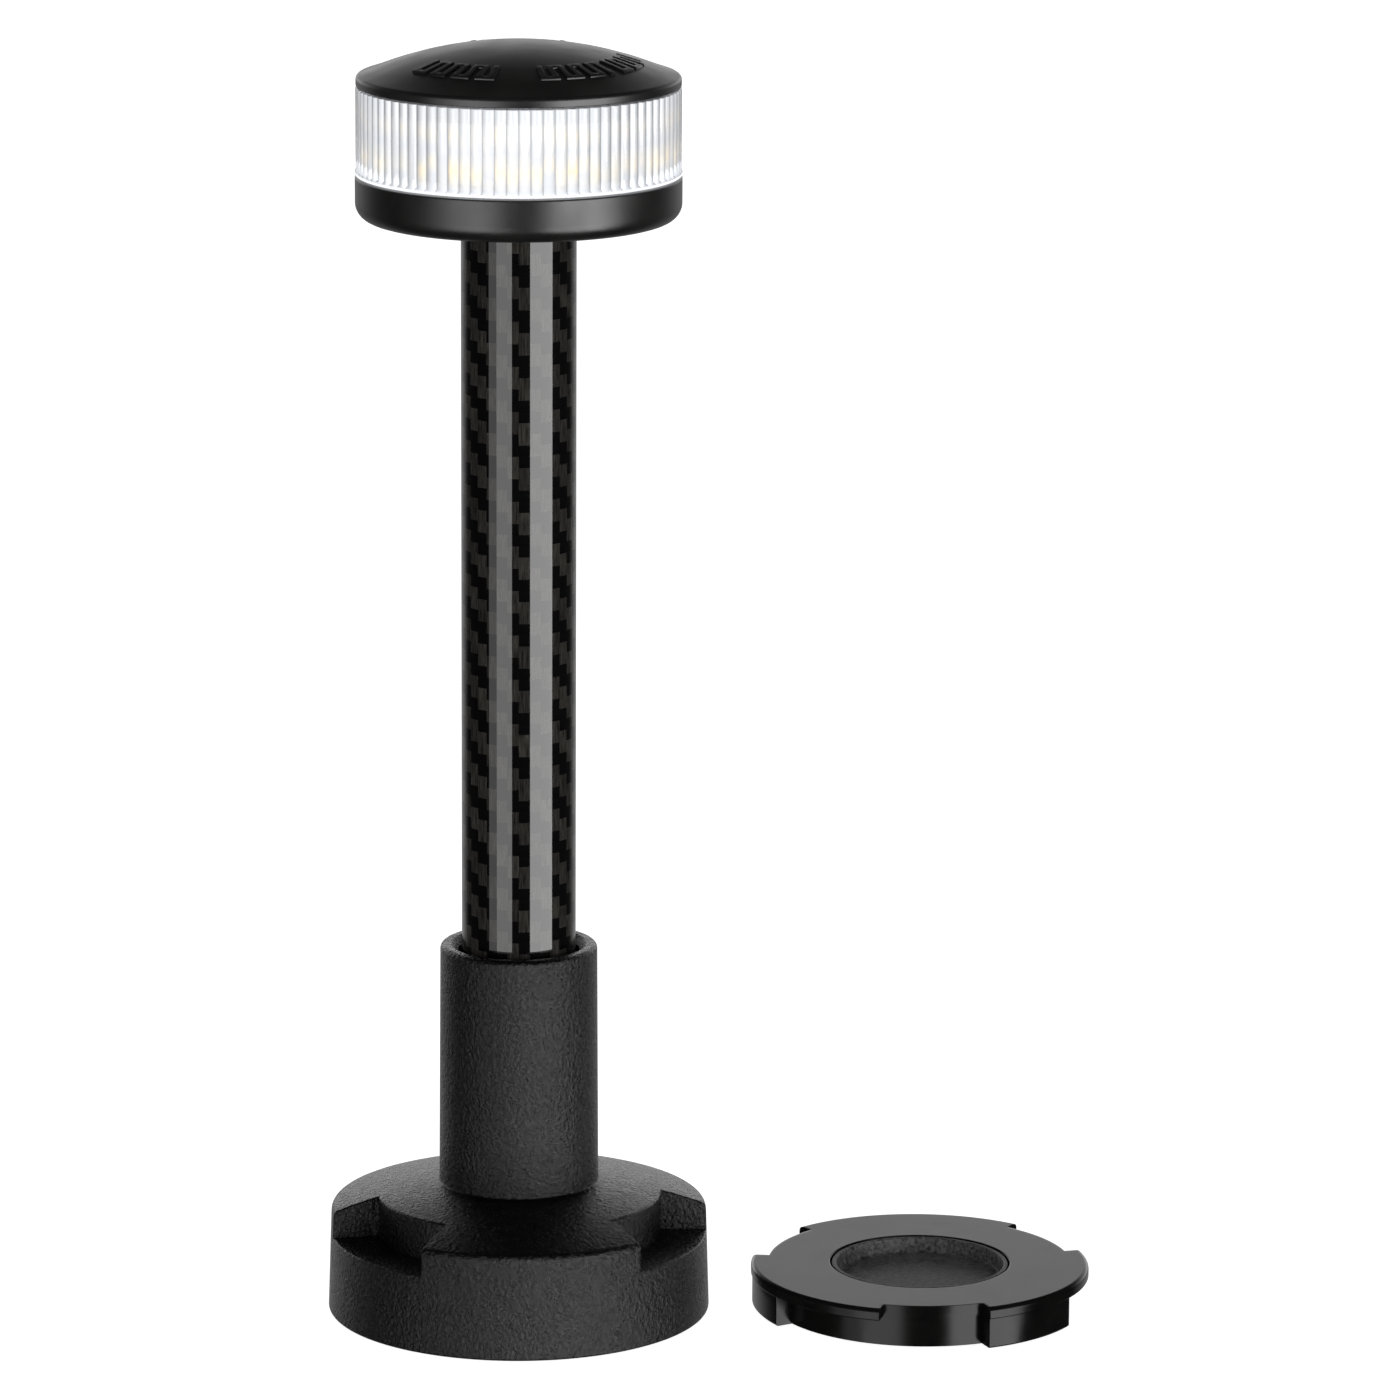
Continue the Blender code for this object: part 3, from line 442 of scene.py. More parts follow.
def banded(name, below, above, split_mm, node_name, rough):
    """Each cell in a stack has two colours, with a straight edge so far under its top."""
    made, tree, shader = new_material(name, Roughness=rough)
    place = add(tree, "TexCoord").outputs["Object"]
    height = add(tree, "SeparateXYZ", {0: place}).outputs[2]
    length = low_high("cell_2")[0] - low_high("cell_1")[0]
    start = low_high(node_name)[0]
    counted = add(tree, "Math", {0: height, 1: -start * MM}, operation="ADD")
    within = add(tree, "Math", {0: counted, 1: length * MM}, operation="FLOORED_MODULO")
    top = add(tree, "Math", {0: within, 1: (length - split_mm) * MM}, operation="GREATER_THAN")
    both = add(tree, "Mix", {0: top, 6: colour(below), 7: colour(above)}, data_type="RGBA").outputs[2]
    tree.links.new(both, shader.inputs["Base Color"])
    return made


def board_material():
    made, tree, shader = new_material("circuit_board", Roughness=0.4)
    place = add(tree, "TexCoord").outputs["Object"]
    tracks = add(tree, "TexBrick", {"Vector": place, "Scale": scale_for(2.5), "Mortar Size": 0.08,
                                    "Color1": colour("#e6e8e4"), "Color2": colour("#dfe2dc"),
                                    "Mortar": colour("#b9beb4")})
    tree.links.new(tracks.outputs["Color"], shader.inputs["Base Color"])
    bump = add(tree, "Bump", {"Height": tracks.outputs["Fac"], "Distance": 0.03 * MM, "Strength": 0.6})
    tree.links.new(bump.outputs["Normal"], shader.inputs["Normal"])
    return made


white_plastic = dull("white_plastic", "#e4e4e1", "#f0f0ee", size_mm=5.0, rough_low=0.3, rough_high=0.42,
                     depth_mm=0.01)
rubber = dull("rubber", "#161616", "#242424", size_mm=1.5, rough_low=0.62, rough_high=0.8, depth_mm=0.02)
led_phosphor = dull("led", "#ffe08a", "#ffeeb0", size_mm=0.6, rough_low=0.3, rough_high=0.45, depth_mm=0.01,
                    Emission_Color=colour("#fff1cf"), Emission_Strength=0.9)
foam = foam_material()
circuit_board = board_material()
cell_jacket = banded("cell_jacket", "#3b4046", "#b98f4c", split_mm=14.0, node_name="cell_1", rough=0.3)
print(len(bpy.data.materials), "materials so far")

# %% [markdown]
# Nearly every piece of this lamp was turned or moulded round an axis, so most shapes start as an outline
# of (distance off the axis, height) points that a spin turns into a solid. Real mouldings have no knife
# edges, so a third number at a corner asks for a fillet. A support point just beyond each fillet keeps
# the long flat faces beside it from taking a part in its smooth shading.

# %% Outlines with fillets


def filleted(corners, steps=6, support=0.12):
    points = []
    for index, corner in enumerate(corners):
        here = Vector(corner[:2])
        if len(corner) == 2:
            points.append(here)
            continue
        back = (Vector(corners[index - 1][:2]) - here).normalized()
        ahead = (Vector(corners[(index + 1) % len(corners)][:2]) - here).normalized()
        half = back.angle(ahead) / 2
        reach = corner[2] / math.tan(half)
        centre = here + (back + ahead).normalized() * corner[2] / math.sin(half)
        first, last = here + back * reach - centre, here + ahead * reach - centre
        sweep = first.angle_signed(last)
        points.append(here + back * (reach + support))
        points += [centre + Matrix.Rotation(-sweep * step / steps, 2) @ first for step in range(steps + 1)]
        points.append(here + ahead * (reach + support))
    return points


def dome(start, end, radius, crown, steps):
    """Points of a dome with its crown at this height, from one distance off the axis to another."""
    reach = [start + (end - start) * step / steps for step in range(steps + 1)]
    return [(r, crown - radius + math.sqrt(radius**2 - r**2)) for r in reach]


# %% [markdown]
# A full spin meets itself again, so its last copy is merged with the first. An outline that never touches
# the axis is closed into a ring. One that does is left open, and its two ends close on the axis once the
# doubles there are merged.

# %% Turning an outline


def turned(outline, steps=128, start=0.0):
    """A solid of revolution about Z in millimetres; the outline stands at a bearing of start degrees."""
    bm = bmesh.new()
    verts = [bm.verts.new((r, 0, z)) for r, z in outline]
    ring = all(r > 0 for r, z in outline)
    ahead = verts[1:] + verts[:1] if ring else verts[1:]
    edges = [bm.edges.new(pair) for pair in zip(verts, ahead)]
    bmesh.ops.rotate(bm, verts=verts, cent=(0, 0, 0), matrix=Matrix.Rotation(math.radians(start), 3, "Z"))
    bmesh.ops.spin(bm, geom=verts + edges, axis=(0, 0, 1), cent=(0, 0, 0), angle=math.tau, steps=steps,
                   use_merge=True)
    bmesh.ops.remove_doubles(bm, verts=bm.verts, dist=1e-4)
    return bm


def bearing_of(point):
    return math.degrees(math.atan2(point.y, point.x)) % 360


# %% [markdown]
# Notches and legs are sectors that differ from the turned shape. A Boolean could cut them, but it leaves
# long thin faces. Here the faces of a sector are deleted, another stretch of outline is spun across the
# opening, and the two side walls are filled: the mesh stays a clean grid, whose edges take a bevel well.

# %% Sectors with another outline


def recess(bm, first, last, gone, path):
    """Between two whole-degree bearings, replaces the faces that gone(r, z) names by a spun path."""
    inside = []
    for face in bm.faces:
        centre = face.calc_center_median()
        if first < bearing_of(centre) < last and gone(centre.xy.length, centre.z):
            inside.append(face)
    bmesh.ops.delete(bm, geom=inside, context="FACES")
    verts = [bm.verts.new((r, 0, z)) for r, z in path]
    edges = [bm.edges.new(pair) for pair in zip(verts, verts[1:])]
    bmesh.ops.rotate(bm, verts=verts, cent=(0, 0, 0), matrix=Matrix.Rotation(math.radians(first), 3, "Z"))
    sweep = math.radians(last - first)
    bmesh.ops.spin(bm, geom=verts + edges, axis=(0, 0, 1), cent=(0, 0, 0), angle=sweep,
                   steps=round(last - first))
    bmesh.ops.remove_doubles(bm, verts=bm.verts, dist=2e-3)
    bmesh.ops.holes_fill(bm, edges=[edge for edge in bm.edges if edge.is_boundary], sides=0)
    bmesh.ops.recalc_face_normals(bm, faces=bm.faces)


def soften(bm, width, where):
    """Rounds the sharp convex edges whose middle is in a region given as a test of (r, z, bearing)."""
    sharp = []
    for edge in bm.edges:
        middle = (edge.verts[0].co + edge.verts[1].co) / 2
        if len(edge.link_faces) != 2 or edge.calc_face_angle_signed(0) < math.radians(35):
            continue
        if where(middle.xy.length, middle.z, bearing_of(middle)):
            sharp.append(edge)
    bmesh.ops.bevel(bm, geom=sharp, offset=width, offset_type="OFFSET", affect="EDGES", segments=3,
                    profile=0.5, material=-1, clamp_overlap=True, miter_outer="ARC")
    return len(sharp)


# %% [markdown]
# Every finished piece goes the same way into the scene: normals outwards, millimetres to metres, out to
# its axis, smooth with sharp creases. It rides on one body, takes the material it is given, and hides the
# CAD nodes that it replaces.

# %% From mesh to piece


def piece(name, bm, material, x, body, slot, *nodes, crease=35):
    bmesh.ops.recalc_face_normals(bm, faces=bm.faces)
    mesh = bpy.data.meshes.new(name)
    bm.to_mesh(mesh)
    bm.free()
    mesh.transform(Matrix.Translation((x, 0, 0)) @ Matrix.Scale(MM, 4))
    mesh.shade_smooth()
    mesh.set_sharp_from_angle(angle=math.radians(crease))
    mesh.materials.append(material)
    made = bpy.data.objects.new(name, mesh)
    bpy.context.scene.collection.objects.link(made)
    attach(made, body)
    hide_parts(*nodes)
    print(f"{name}: {len(mesh.polygons)} faces")
    return made


# %% [markdown]
# The foot is one moulding: a cup that fits over the deck plate, a shallow dome, and the column that holds
# the pole. The outline runs down the outside, under the rim and up inside the cup. Two of its points are
# there only for the finger notches: where a notch's back wall will meet the dome, and where its floor
# meets the side.

# %% Foot outline
FOOT_RADIUS = radius_of("base_moulding")
FOOT_RIM = 19.1
FOOT_DRAFT = math.radians(1.8)
DOME_RADIUS = 98.0
COLUMN_TOP = low_high("base_moulding")[1]
COLUMN_RADIUS = 13.8
COLUMN_FOOT = 14.05
MOUTH_RADIUS = 10.7
BORE_RADIUS = 12.1
CUP_RADIUS = 30.5
CUP_CEILING = 8.2
NOTCH_RADIUS = 25.2
NOTCH_FLOOR = 14.0
CLAW_LOW, CLAW_HIGH, CLAW_REACH = 1.5, 5.2, 27.4
FLANGE_RADIUS = 20.8  # the recess of the liner's flange
FLANGE_ROOF = 11.3
SEAL_OUTER, SEAL_INNER, SEAL_ROOF = 27.1, 24.9, 9.9
BORE_END, LIP = 7.0, 1.2  # where the bore narrows below the column's top, and the chamfer of its mouth
EDGE_RADIUS = 1.3
SUPPORT = 0.45  # before a cut's back wall

rim_radius = FOOT_RADIUS - FOOT_RIM * math.tan(FOOT_DRAFT)
crown = FOOT_RIM + DOME_RADIUS - math.sqrt(DOME_RADIUS**2 - (rim_radius - EDGE_RADIUS) ** 2)


def dome_height(r):
    return crown - DOME_RADIUS + math.sqrt(DOME_RADIUS**2 - r**2)


notch_edge = (NOTCH_RADIUS, dome_height(NOTCH_RADIUS))
notch_lip = (FOOT_RADIUS - NOTCH_FLOOR * math.tan(FOOT_DRAFT), NOTCH_FLOOR)
foot_outline = filleted([
    (MOUTH_RADIUS + LIP, COLUMN_TOP, 0.3),
    (COLUMN_RADIUS, COLUMN_TOP, 0.9),
    (COLUMN_FOOT, dome_height(COLUMN_FOOT), 0.45),
    *dome(16.0, NOTCH_RADIUS - SUPPORT, DOME_RADIUS, crown, 5), notch_edge,
    *dome(27.0, 31.0, DOME_RADIUS, crown, 3),
    (rim_radius, dome_height(rim_radius), EDGE_RADIUS),
    notch_lip,
    (FOOT_RADIUS, 0, 0.5),
    (CUP_RADIUS, 0, 0.3),
    (CUP_RADIUS, CLAW_LOW), (CUP_RADIUS, CLAW_HIGH),
    (CUP_RADIUS, CUP_CEILING), (SEAL_OUTER, CUP_CEILING), (SEAL_OUTER, SEAL_ROOF),
    (SEAL_INNER, SEAL_ROOF), (SEAL_INNER, CUP_CEILING),
    (FLANGE_RADIUS, CUP_CEILING), (FLANGE_RADIUS, FLANGE_ROOF),
    (BORE_RADIUS, FLANGE_ROOF), (BORE_RADIUS, COLUMN_TOP - BORE_END), (MOUTH_RADIUS, COLUMN_TOP - BORE_END),
    (MOUTH_RADIUS, COLUMN_TOP - LIP),
])
print(f"the foot's outline has {len(foot_outline)} points, its dome's crown is at {crown:.1f} mm")

# %% [markdown]
# Three notches give the fingers a hold, and under each of them a claw inside the cup hooks below the
# plate's flange. The claws are faces of the cup's wall, drawn inwards. The notch's edges get a small
# radius, as the mould has, because that is where a black part shows its shape.

# %% Foot with notches and claws
NOTCH_FIRST, NOTCH_LAST = 70, 119  # whole-degree bearings
CLAW_FIRST, CLAW_LAST = 79, 110

foot = turned(foot_outline, steps=360)
for turn in THIRDS:
    recess(foot, NOTCH_FIRST + turn, NOTCH_LAST + turn,
           lambda r, z: r > NOTCH_RADIUS + 0.05 and z > NOTCH_FLOOR,
           [notch_edge, (NOTCH_RADIUS, NOTCH_FLOOR), notch_lip])


def over_notch(r, z, bearing):
    return r > NOTCH_RADIUS - 0.3 and z > NOTCH_FLOOR - 0.5 and any(
        NOTCH_FIRST + turn - 0.5 < bearing < NOTCH_LAST + turn + 0.5 for turn in THIRDS)


softened = soften(foot, 0.35, over_notch)
for turn in THIRDS:
    wall = []
    for face in foot.faces:
        centre = face.calc_center_median()
        if CLAW_FIRST + turn < bearing_of(centre) < CLAW_LAST + turn and CLAW_LOW < centre.z < CLAW_HIGH:
            if CUP_RADIUS - 0.1 < centre.xy.length < CUP_RADIUS + 0.01:
                wall.append(face)
    drawn = bmesh.ops.extrude_face_region(foot, geom=wall)["geom"]
    for vert in {vert for vert in drawn if isinstance(vert, bmesh.types.BMVert)}:
        vert.co.xy *= CLAW_REACH / vert.co.xy.length
    bmesh.ops.delete(foot, geom=[face for face in wall if face.is_valid], context="FACES")
print(softened, "notch edges rounded")
piece("foot_shell", foot, grained_nylon, lamp_x, "foot", "grained_nylon", "base_moulding")

# %% [markdown]
# The deck plate is screwed or glued to the boat, and the foot turns on it by about 40 degrees. Three
# cut-outs let the claws pass, and the legs beside them are the stops. The outline starts at a bearing
# where whole-degree steps land on the edges of the cut-outs.

# %% Deck plate
PLATE_RADIUS = radius_of("deck_plate")
PLATE_TOP = low_high("deck_plate")[1]
PLATE_START = 0.4
FLANGE_LOW = 5.65
HUB_RADIUS = 26.5
CUTOUT_RADIUS = 26.9
LEG_RADIUS = 29.75
POCKET_RADIUS = 15.95
POCKET_FLOOR = 2.9
PAD_POCKET, PAD_ROOF = 24.3, 1.1
CUTOUT_START, LEG_START, SECTOR = 13.4, 51.4, 38

plate_outline = filleted([
    (0, POCKET_FLOOR), (POCKET_RADIUS, POCKET_FLOOR),
    (POCKET_RADIUS, PLATE_TOP, 0.2),
    (CUTOUT_RADIUS - SUPPORT, PLATE_TOP), (CUTOUT_RADIUS, PLATE_TOP),
    (PLATE_RADIUS, PLATE_TOP, 0.8),
    (PLATE_RADIUS, FLANGE_LOW, 0.25),
    (CUTOUT_RADIUS, FLANGE_LOW), (HUB_RADIUS, FLANGE_LOW),
    (HUB_RADIUS, GAP),
    (PAD_POCKET, GAP), (PAD_POCKET, PAD_ROOF), (0, PAD_ROOF),
], support=0.08)
plate = turned(plate_outline, steps=360, start=PLATE_START)
for turn in THIRDS:
    first = CUTOUT_START + turn
    recess(plate, first, first + SECTOR, lambda r, z: r > CUTOUT_RADIUS and z > FLANGE_LOW - 0.01,
           [(CUTOUT_RADIUS, PLATE_TOP), (CUTOUT_RADIUS, FLANGE_LOW)])
print(len(plate.faces), "faces after the cut-outs")

# %% [markdown]
# Each leg is a block under the flange that reaches nearly to its edge. The hub's wall and the flange's
# underside open over its sector and the leg's own outline closes them again.

# %% Legs under the deck plate
for turn in THIRDS:
    first = LEG_START + turn
    recess(plate, first, first + SECTOR,
           lambda r, z: HUB_RADIUS - 0.05 < r < LEG_RADIUS and GAP < z < FLANGE_LOW + 0.01,
           [(LEG_RADIUS, FLANGE_LOW), (LEG_RADIUS, 0.6), (LEG_RADIUS - 0.3, GAP), (HUB_RADIUS, GAP)])
soften(plate, 0.35, lambda r, z, bearing: r > HUB_RADIUS + 0.1 and z > GAP)
piece("plate_shell", plate, gloss_plastic, plate_x, "plate", "gloss_plastic", "deck_plate")

insert_low = low_high("centre_insert")[0]
insert_top = low_high("centre_insert")[1]
INSERT_RADIUS = radius_of("centre_insert")
INSERT_FLOOR, INSERT_FLOOR_RADIUS = 5.05, 14.3
insert = turned(filleted([
    (0, insert_low), (INSERT_RADIUS, insert_low), (INSERT_RADIUS, insert_top, 0.3),
    (INSERT_RADIUS - 0.75, insert_top, 0.3), (INSERT_FLOOR_RADIUS, INSERT_FLOOR, 0.5), (0, INSERT_FLOOR),
]), steps=160)
piece("insert_dish", insert, speckled_nylon, plate_x, "plate", "grained_nylon", "centre_insert")

# %% [markdown]
# The carbon tube is a plain ring with broken edges. Its weave is all in its material, and the shape only
# has to be round enough that the coat's highlights run straight.

# %% Tube and top ferrule
tube_low, tube_high = low_high("carbon_tube")
TUBE_INNER = 9.0
tube = turned(filleted([
    (tube_radius, tube_high, 0.2), (tube_radius, tube_low, 0.3),
    (TUBE_INNER, tube_low, 0.2), (TUBE_INNER, tube_high, 0.2),
], steps=3), steps=192)
piece("pole_tube", tube, carbon_twill, lamp_x, "pole", "carbon_twill", "carbon_tube")

ferrule_low, flange_high = low_high("top_ferrule")
FLANGE_THICK = 0.95
SLEEVE_OUTER, SLEEVE_INNER = 8.7, 6.6
ferrule = turned(filleted([
    (tube_radius, flange_high, 0.22), (tube_radius, flange_high - FLANGE_THICK, 0.22),
    (SLEEVE_OUTER, flange_high - FLANGE_THICK), (SLEEVE_OUTER, ferrule_low, 0.3),
    (SLEEVE_INNER, ferrule_low, 0.2), (SLEEVE_INNER, flange_high, 0.2),
], steps=4, support=0.03), steps=160)
piece("ferrule_ring", ferrule, black_aluminium, lamp_x, "pole", "black_aluminium", "top_ferrule")

# %% [markdown]
# The housing is a shallow dish with a stem that turns in the ferrule. The stem carries an O-ring and a
# spring clip in two grooves, and the clamp bolt's head sits in a pocket at its end. From outside one sees
# a short wall with a generous radius below it, where most of its shading happens.

# %% Head housing
HEAD_RADIUS = radius_of("head_housing")
STEM_RADIUS = 6.2
HOUSING_LOW = flange_high + GAP
HOUSING_FLOOR = HOUSING_LOW + 2.2
RIM_INNER = HEAD_RADIUS - 2.2
BOLT_HOLE = 1.8
BOLT_POCKET, BOLT_HEAD = 2.9, 2.3  # radius and depth
BOSS_RADIUS = 5.5
CLIP_DEPTH, CLIP_PLAY = 1.2, 0.1
stem_low, housing_high = low_high("head_housing")
clip_low, clip_high = low_high("stem_clip")
board_low = low_high("driver_board")[0]


def seal_groove(outer, node, depth=1.7):
    """The four points of an O-ring's groove, downwards, in a wall of this radius."""
    low, high = low_high(node)
    return [(outer, high + GAP), (outer - depth, high + GAP), (outer - depth, low - GAP), (outer, low - GAP)]


housing = turned(filleted([
    (HEAD_RADIUS, housing_high, 0.3),
    (HEAD_RADIUS, HOUSING_LOW, 3.0),
    (STEM_RADIUS, HOUSING_LOW),
    *seal_groove(STEM_RADIUS, "stem_seal"),
    (STEM_RADIUS, clip_high + CLIP_PLAY), (STEM_RADIUS - CLIP_DEPTH, clip_high + CLIP_PLAY),
    (STEM_RADIUS - CLIP_DEPTH, clip_low - CLIP_PLAY), (STEM_RADIUS, clip_low - CLIP_PLAY),
    (STEM_RADIUS, stem_low, 0.2),
    (BOLT_POCKET, stem_low), (BOLT_POCKET, stem_low + BOLT_HEAD),
    (BOLT_HOLE, stem_low + BOLT_HEAD), (BOLT_HOLE, board_low - GAP),
    (BOSS_RADIUS, board_low - GAP), (BOSS_RADIUS, HOUSING_FLOOR, 0.8),
    (RIM_INNER - 0.8, HOUSING_FLOOR, 1.5), (RIM_INNER, housing_high - 3.3),
    (RIM_INNER, housing_high, 0.2),
], steps=8), steps=192)
piece("housing_shell", housing, satin_plastic, lamp_x, "head", "satin_plastic", "head_housing")

# %% [markdown]
# The lens has a plain flange at its foot and 84 convex flutes above it. Ten steps for each flute are
# enough, because smooth shading rounds the rest. Turning gives a plain ring with the right number of
# columns, and each column is then drawn in by how far it stands from the middle of its flute.

# %% Fluted lens
LENS_INNER = 25.6
SPIGOT_OUTER, SPIGOT_INNER = 25.67, 22.87
FLUTE_STEPS = 10
FLUTE_DEPTH = 0.42
UPPER_LINE = lens_high - 4.8  # a fine step inside, where the cap's plug ends

lens_outline = filleted([
    (HEAD_RADIUS - 0.15, lens_high, 0.2),
    (HEAD_RADIUS - 0.15, FLANGE_TOP + 0.4),
    (HEAD_RADIUS, FLANGE_TOP), (HEAD_RADIUS, lens_low, 0.2),
    (SPIGOT_OUTER, lens_low),
    *seal_groove(SPIGOT_OUTER, "lower_seal"),
    (SPIGOT_OUTER, lens_low_all, 0.2), (SPIGOT_INNER, lens_low_all, 0.2),
    (SPIGOT_INNER, lens_low + 1.0), (LENS_INNER, lens_low + 1.6),
    (LENS_INNER, UPPER_LINE), (LENS_INNER, lens_high),
], steps=3, support=0.05)
lens = turned(lens_outline, steps=FLUTES * FLUTE_STEPS)
fluted = 0
for vert in lens.verts:
    if vert.co.xy.length < LENS_INNER + 0.5 or vert.co.z < FLANGE_TOP + 0.3:
        continue
    across = bearing_of(vert.co) * FLUTES / 360
    offset = 2 * (across - math.floor(across)) - 1
    vert.co.xy *= 1 - FLUTE_DEPTH * offset**2 / vert.co.xy.length
    fluted += 1
piece("lens_ring", lens, clear_lens, lamp_x, "head", "clear_lens", "lens", crease=45)
print(fluted, "points drawn in for the flutes")

# %% [markdown]
# The cap is a low dome with a short skirt and a rolled edge. Around it run groups of raised ribs that
# help wet fingers turn the head. Each group is a meander: bars out from the axis, joined in turn at their
# inner and outer ends. The dome's outline has points at the radii where the bars begin and end, so the
# ribs are simply some of its faces, drawn up by their height.

# %% Cap with raised ribs
CAP_RADIUS = radius_of("top_cap")
CAP_APEX = low_high("top_cap")[1]
CAP_LOW = lens_high + GAP
CAP_WALL = 2.2
CAP_PLUG_OUTER, CAP_PLUG_INNER = 25.3, 22.5
CAP_DOME = 67.9
NUT_RADIUS, NUT_HEIGHT = 4.0, 3.6  # the pocket under the crown
RIB_RADII = (16.7, 17.6, 20.9, 21.8)
RIB_HEIGHT = 0.35
RIB_GROUPS = ((214, 8), (280, 7), (325, 6), (62, 10))  # first bearing and count of bars
RIB_PITCH, RIB_WIDTH = 6, 3  # degrees

ceiling = CAP_APEX - CAP_WALL
core_high = low_high("led_core")[1]
cap_outline = [
    *dome(0, 15.0, CAP_DOME, CAP_APEX, 6),
    *[(r, CAP_APEX - CAP_DOME + math.sqrt(CAP_DOME**2 - r**2)) for r in (*RIB_RADII, 23.5, 25.5)],
    (CAP_RADIUS, CAP_APEX - CAP_DOME + math.sqrt(CAP_DOME**2 - CAP_RADIUS**2) + 0.25, 0.75),
    (CAP_RADIUS, CAP_LOW, 0.2), (CAP_PLUG_OUTER, CAP_LOW),
    *seal_groove(CAP_PLUG_OUTER, "upper_seal"),
    (CAP_PLUG_OUTER, lens_high - 3.0, 0.2), (CAP_PLUG_INNER, lens_high - 3.0, 0.2),
    *dome(CAP_PLUG_INNER, 6.0, CAP_DOME - CAP_WALL, ceiling, 3),
    (NUT_RADIUS, ceiling - 1.2), (NUT_RADIUS, core_high + NUT_HEIGHT), (BOLT_HOLE, core_high + NUT_HEIGHT),
    (BOLT_HOLE, ceiling - 1.0), (0, ceiling - 1.0),
]
cap = turned(filleted(cap_outline, steps=8, support=0.06), steps=360)


def in_rib(r, bearing):
    """Whether a point on the dome belongs to a bar, or to the bridge that joins two bars."""
    if not RIB_RADII[0] < r < RIB_RADII[3]:
        return False
    for first, count in RIB_GROUPS:
        past = bearing - first
        if 0 < past < (count - 1) * RIB_PITCH + RIB_WIDTH:
            number, within = divmod(past, RIB_PITCH)
            bridged = r < RIB_RADII[1] if number % 2 else r > RIB_RADII[2]
            return within < RIB_WIDTH or bridged
    return False


ribs = []
for face in cap.faces:
    centre = face.calc_center_median()
    if centre.z > CAP_APEX - 5.0 and in_rib(centre.xy.length, bearing_of(centre)):
        ribs.append(face)
raised = bmesh.ops.extrude_face_region(cap, geom=ribs)["geom"]
bmesh.ops.delete(cap, geom=[face for face in ribs if face.is_valid], context="FACES")
tops = {item for item in raised if isinstance(item, bmesh.types.BMVert)}
bmesh.ops.translate(cap, verts=list(tops), vec=(0, 0, RIB_HEIGHT))
top_edges = [edge for edge in cap.edges if edge.verts[0] in tops and edge.verts[1] in tops]
rim = [edge for edge in top_edges if edge.calc_face_angle(0) > 1.0]
bmesh.ops.bevel(cap, geom=rim, offset=0.12, offset_type="OFFSET", affect="EDGES", segments=2, profile=0.5,
                material=-1, clamp_overlap=True)
print(len(ribs), "faces raised,", len(rim), "edges rounded")
piece("cap_shell", cap, satin_plastic, lamp_x, "head", "satin_plastic", "top_cap", crease=40)

# %% [markdown]
# Everything else is inside, or is a plain ring whose CAD shape is already right, so the CAD meshes stay
# and only get their finishes. The frame's record says which slot each node belongs to.

# %% Finishes for the CAD pieces that stay
FINISHES = {
    "grained_nylon": grained_nylon, "satin_plastic": satin_plastic, "gloss_plastic": gloss_plastic,
    "carbon_twill": carbon_twill, "clear_lens": clear_lens, "white_plastic": white_plastic,
    "black_aluminium": black_aluminium, "bare_aluminium": bare_aluminium, "stainless_steel": stainless_steel,
    "brass": brass, "rubber": rubber, "foam": foam, "circuit_board": circuit_board,
    "cell_jacket": cell_jacket, "led": led_phosphor,
}
finished = 0
for subpart in frame["record"]["subparts"]:
    mesh = frame["nodes"][subpart["node"]].data
    if not mesh.materials:
        mesh.materials.append(None)
    for index in range(len(mesh.materials)):
        mesh.materials[index] = FINISHES[subpart["material_slot"]]
    finished += 1
print(finished, "CAD nodes given a finish")

# %% [markdown]
# The floor is a white sheet a hair below the pieces, lit from beneath so that it goes as white as the
# world behind it and leaves no horizon. Neither glossy nor diffuse rays see it: in a studio the soft
# boxes and black walls around the table decide what black things mirror, and the world below gives the
# same even fill.

# %% Floor
FLOOR_SIZE = 6.0
floor_bm = bmesh.new()
bmesh.ops.create_grid(floor_bm, x_segments=1, y_segments=1, size=FLOOR_SIZE)
bmesh.ops.translate(floor_bm, verts=floor_bm.verts, vec=(0, 0, -0.0002))
floor_mesh = bpy.data.meshes.new("floor")
floor_bm.to_mesh(floor_mesh)
floor_bm.free()
floor_paper = new_material("floor_paper", Base_Color=colour("#e0e0e0"), Roughness=0.9, Specular_IOR_Level=0.0,
                           Emission_Color=colour("#ffffff"), Emission_Strength=0.95)[0]
floor_mesh.materials.append(floor_paper)
floor = bpy.data.objects.new("floor", floor_mesh)
bpy.context.scene.collection.objects.link(floor)
floor.visible_glossy = False
floor.visible_diffuse = False
print(f"floor of {2 * FLOOR_SIZE:.0f} m by {2 * FLOOR_SIZE:.0f} m")

# %% [markdown]
# Black things are lit by what they mirror. Two tall soft boxes stand left and right of the camera and
# leave a dark gap between them: on the round tube they become two bright stripes with a black one in the
# middle. A dimmer strip softens the left one's outer edge. None reaches far above the lamp, or flat tops
# would flare when seen from behind. Bearings are given from the camera's side, positive to the right.

# %% Soft boxes
LIGHT_DISTANCE = 1.5
LIGHT_LOW, LIGHT_HIGH = -1.2, 0.35


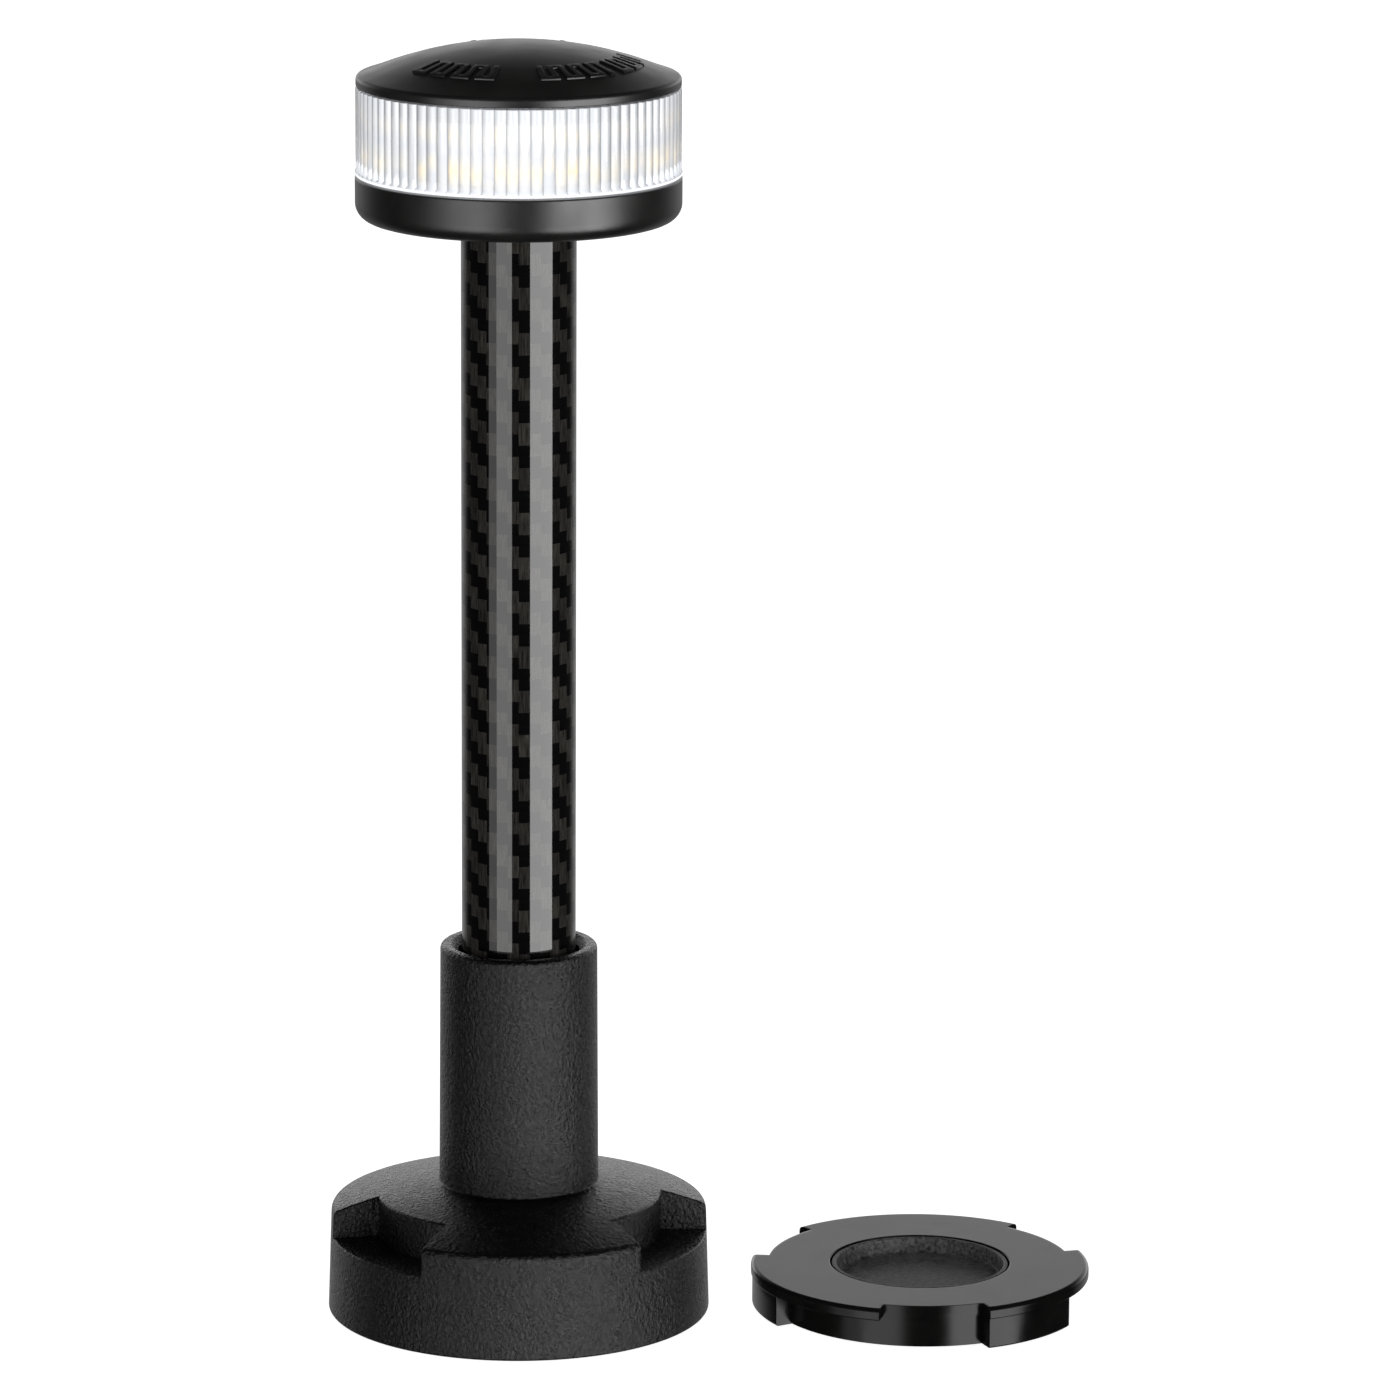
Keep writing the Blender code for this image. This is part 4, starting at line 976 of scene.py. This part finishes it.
def soft_box(name, first, last, radiance):
    """A tall light around the lamp between two bearings from the front."""
    middle = math.radians((first + last) / 2)
    width = 2 * LIGHT_DISTANCE * math.tan(math.radians(abs(last - first) / 2))
    height = LIGHT_HIGH - LIGHT_LOW
    data = bpy.data.lights.new(name, "AREA")
    data.shape = "RECTANGLE"
    data.size, data.size_y = width, height
    data.energy = radiance * math.pi * width * height
    lamp = bpy.data.objects.new(name, data)
    spot = Vector((LIGHT_DISTANCE * math.sin(middle), -LIGHT_DISTANCE * math.cos(middle), 0))
    lamp.location = Vector((lamp_x, 0, (LIGHT_LOW + LIGHT_HIGH) / 2)) + spot
    lamp.rotation_euler = (-spot).to_track_quat("-Z", "Y").to_euler()
    lamp.visible_camera = False
    bpy.context.scene.collection.objects.link(lamp)
    print(f"{name}: {width:.2f} m wide, {data.energy:.0f} W")


soft_box("left_box", -45.0, -13.6, 2.5)
soft_box("left_edge", -62.0, -45.0, 1.0)
soft_box("right_box", 22.6, 70.6, 4.8)

# %% [markdown]
# The world is pure white to the camera and a soft fill to diffuse rays. Glossy rays see a dim studio with
# a bright low band behind the lamp, the lit backdrop, which fades out above.

# %% World
world = bpy.data.worlds.new("studio")
bpy.context.scene.world = world
world.use_nodes = True
sky = world.node_tree
background = sky.nodes["Background"]
BACK_GLOW = 1.5
DARK_STUDIO = 0.02
FILL = 0.32
FADE_FROM, FADE_TO = 0.08, 0.52  # the band's brightness falls between these heights of a direction
SIDE, BACK = 0.5, 0.86  # and grows between these, from the sides to straight behind
TABLE_LOW, TABLE_HIGH, TABLE_SHARE = -0.12, 0.05, 0.25  # below the horizon the table dims it
path = add(sky, "LightPath")
looking = add(sky, "TexCoord").outputs["Generated"]
dy, dz = add(sky, "SeparateXYZ", {0: looking}).outputs[1:]
low = add(sky, "MapRange", {0: dz, 1: FADE_FROM, 2: FADE_TO, 3: 1.0, 4: 0.0}, interpolation_type="SMOOTHSTEP")
behind = add(sky, "MapRange", {0: dy, 1: SIDE, 2: BACK, 3: 0.0, 4: 1.0}, interpolation_type="SMOOTHSTEP")
table = add(sky, "MapRange", {0: dz, 1: TABLE_LOW, 2: TABLE_HIGH, 3: TABLE_SHARE, 4: 1.0})
glow = add(sky, "Math", {0: low, 1: behind}, operation="MULTIPLY")
glow = add(sky, "Math", {0: glow, 1: table}, operation="MULTIPLY")
mirrored = add(sky, "Math", {0: glow, 1: BACK_GLOW, 2: DARK_STUDIO}, operation="MULTIPLY_ADD")
seen = add(sky, "Mix", {0: path.outputs["Is Diffuse Ray"], 2: mirrored, 3: FILL})
seen = add(sky, "Mix", {0: path.outputs["Is Camera Ray"], 2: seen, 3: 1.0})
sky.links.new(seen.outputs[0], background.inputs["Strength"])
background.inputs["Color"].default_value = colour("#ffffff")
bpy.context.scene.view_settings.view_transform = "Standard"
print(f"world with a back glow of {BACK_GLOW} and a fill of {FILL}")
